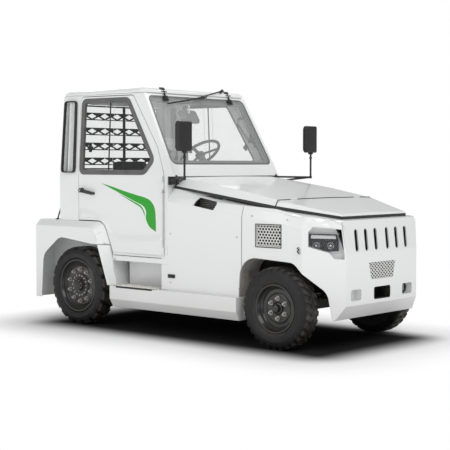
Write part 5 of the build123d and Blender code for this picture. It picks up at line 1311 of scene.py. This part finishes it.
fitting("mirror_clamps", powder, "root", "mirror_plastic", 0.001, [
    ((mirror_x - 0.020, mirror_y - 0.016, 1.604), (mirror_x + 0.016, mirror_y + 0.016, 1.622)),
    ((0.040, 0.664, 1.326), (0.046, 0.716, 1.402)),
], [
    *[((mirror_x, mirror_y, z), (mirror_x, mirror_y, z + 0.016), 0.0135, 16) for z in (1.560, 1.600)],
    *[((x, 0.712, z), (x, 0.720, z), 0.009, 6) for z in (1.344, 1.384) for x in (0.100, 0.060)],
    ((0.112, 0.690, 1.320), (0.112, 0.690, 1.412), 0.011, 14),
    ((mirror_x, mirror_y, 1.372), (mirror_x, mirror_y, 1.396), 0.0125, 16),
])

# Side latches: black rubber-lined catches low on the side panels, a rope
# hook on each front quarter, and the bolts of the panels and the rear body.
latch_out = half_width + 0.008
fitting("side_panel_latches", powder, "root", "chassis_black", 0.003, [
    ((0.046, half_width, 0.510), (0.130, latch_out, 0.542)),
    ((0.060, half_width, 0.518), (0.116, latch_out + 0.006, 0.534)),
])
hook_out = half_width + 0.014
hook = [(1.492, half_width, 0.842), (1.492, hook_out, 0.838), (1.508, hook_out, 0.826),
        (1.492, hook_out, 0.812), (1.508, hook_out, 0.800), (1.500, half_width, 0.794)]
bm = bmesh.new()
for side in (-1, 1):
    bent_wire(bm, [(x, side * y, z) for x, y, z in hook], 0.0045, 10, 10, 6)
make_piece("quarter_hooks", bm, powder, "root", "chassis_black")
panel_spots = ((0.075, 0.470), (0.845, 0.900), (0.870, 0.470), (0.075, 0.900), (1.005, 1.080), (1.380, 1.060))
fitting("panel_bolts", zinc, "root", "body_white", rods=[
    *[((x, half_width - 0.001, z), (x, half_width + 0.0035, z), 0.0075, 16, 0.0065) for x, z in panel_spots],
    *[((x, 0.733, z), (x, 0.741, z), 0.007, 6) for x, z in ((-0.62, 0.560), (-0.63, 0.640))],
])


def lamp_acrylic(name, tones):
    """Moulded lamp acrylic: a bump for its flutes, and stripes along them in two tones, a painted shade and
    highlight.
    """
    material, tree = new_material(name)
    place = add_node(tree, "ShaderNodeTexCoord").outputs["Object"]
    flute = add_node(tree, "ShaderNodeTexWave", {"bands_direction": "Y"},
                     {"Vector": place, "Scale": 60, "Distortion": 0}).outputs[0]
    skin = add_node(tree, "ShaderNodeBump", inputs={"Height": flute, "Strength": 0.4, "Distance": 0.001})
    # Painted shade and highlight: the colour goes darker and lighter along the flutes.
    tone = add_node(tree, "ShaderNodeMix", {"data_type": "RGBA"},
                    {0: flute, 6: linear(tones[0]), 7: linear(tones[1])})
    finished(tree, add_node(tree, "ShaderNodeBsdfPrincipled", inputs={
        "Base Color": tone.outputs[2], "Roughness": 0.14, "Normal": skin.outputs[0], "Coat Weight": 0.5,
    }))
    return material


# Rear: lamp clusters in black bezels, round reflectors, a blank plate on its
# holder and a stay rod between the cab and the deck.
red_lens = lamp_acrylic("red_lamp_acrylic", ("A30F12", "C4181A"))
amber_lens = lamp_acrylic("amber_lamp_acrylic", ("D66F09", "EE8A14"))
paint_nodes(("tail_lamps",), powder)
lens_x, lamp_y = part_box("tail_lamps")[0][0], 0.445
for part, material, inner_end, outer_end in (
    ("red", red_lens, -0.078, -0.012), ("amber", amber_lens, -0.006, 0.036), ("clear", lit, 0.042, 0.078),
):
    fitting(f"tail_lens_{part}", material, "root", "tail_lens", 0.004,
            [((lens_x - 0.007, lamp_y + inner_end, 0.763), (lens_x + 0.002, lamp_y + outer_end, 0.837))])
fitting("round_reflectors", red_lens, "root", "tail_lens", 0.002,
        rods=[((-1.692, 0.668, 0.800), (-1.700, 0.668, 0.800), 0.034, 36, 0.031)])
fitting("plate_holder", powder, "root", "chassis_black", 0.004,
        [((-1.6975, -0.260, 0.700), (-1.692, 0.260, 0.820))], sides=(1,))
fitting("blank_plate", mesh_paint, "root", "body_white", 0.0008,
        [((-1.6995, -0.250, 0.709), (-1.6972, 0.250, 0.811))], sides=(1,))
stay_y, stay_x = 0.690, -1.478
fitting("deck_stays", powder, "root", "chassis_black", 0.001,
        [((-1.412, stay_y - 0.012, 1.130), (-1.398, stay_y + 0.012, 1.172))],
        [((-1.402, stay_y, 1.150), (stay_x, stay_y, 0.979), 0.007, 12),
         ((stay_x, stay_y, 0.979), (stay_x, stay_y, 0.988), 0.016, 16)])

# Counterweight and hitch: cast iron in thick black paint, with the drop pin
# through all jaws, its ring handle and two bolts on each side.
panel("rear_counterweight", "counterweight_casting", cast_paint, "root", "axle_cast", 0.008)
panel("tow_hitch", "hitch_casting", cast_paint, "root", "hitch_cast", 0.003)
pin_x = -1.776
bm = bmesh.new()
rod(bm, (pin_x, 0, 0.296), (pin_x, 0, 0.588), 0.0135, 28)
rod(bm, (pin_x, 0, 0.286), (pin_x, 0, 0.296), 0.009, 28, 0.0135)
rod(bm, (pin_x, 0, 0.575), (pin_x, 0, 0.587), 0.026, 28)
hoop(bm, 0.030, 0.0055, 10, 36, Matrix.Translation((pin_x, 0, 0.620)))
make_piece("hitch_pin", bm, zinc, "root", "hitch_cast", 0.0008)
fitting("hitch_bolts", zinc, "root", "hitch_cast", 0.0008,
        rods=[((-1.760, 0.078, z), (-1.771, 0.078, z), 0.013, 6) for z in (0.345, 0.547)])

# Front arch liners: pressed sheet with a sprayed grain, bent round the rear and the top of each wheel arch.
# Their grey-brown is a painted shade: white paint darkened as it looks inside the arch, with a dusty drift.
liner_painted_shade = coating("arch_liner_painted_shade", (12, 6), "CFCCC6 8B8780", {"Roughness": 0.75},
                      ("ShaderNodeTexNoise", {}, {"Scale": 180, "Detail": 2}, 0.3, 0.0015))
arch_rows = mm([(851, 100, 0), (880, 742, 170), (1440, 715, 110), (1690, 480, 140), (1744, 100, 0)])
liner_foot, liner_front = 0.29, 1.40
arch_line = [(a, b) for a, b in rounded(grown(arch_rows, -0.003), 12) if b > liner_foot and a < liner_front]
arch_line = [(0.857, liner_foot), *arch_line, (liner_front, 0.719)]
bm = bmesh.new()
for side in (-1, 1):
    outer, inner = ([bm.verts.new((a, side * y, b)) for a, b in arch_line] for y in (0.714, 0.470))
    wall = [bm.faces.new(ring) for ring in zip(outer, outer[1:], inner[1:], inner)]
    bmesh.ops.recalc_face_normals(bm, faces=wall)
    bmesh.ops.solidify(bm, geom=wall, thickness=0.002)
make_piece("front_arch_liners", bm, liner_painted_shade, "root", "body_white", outward=True)
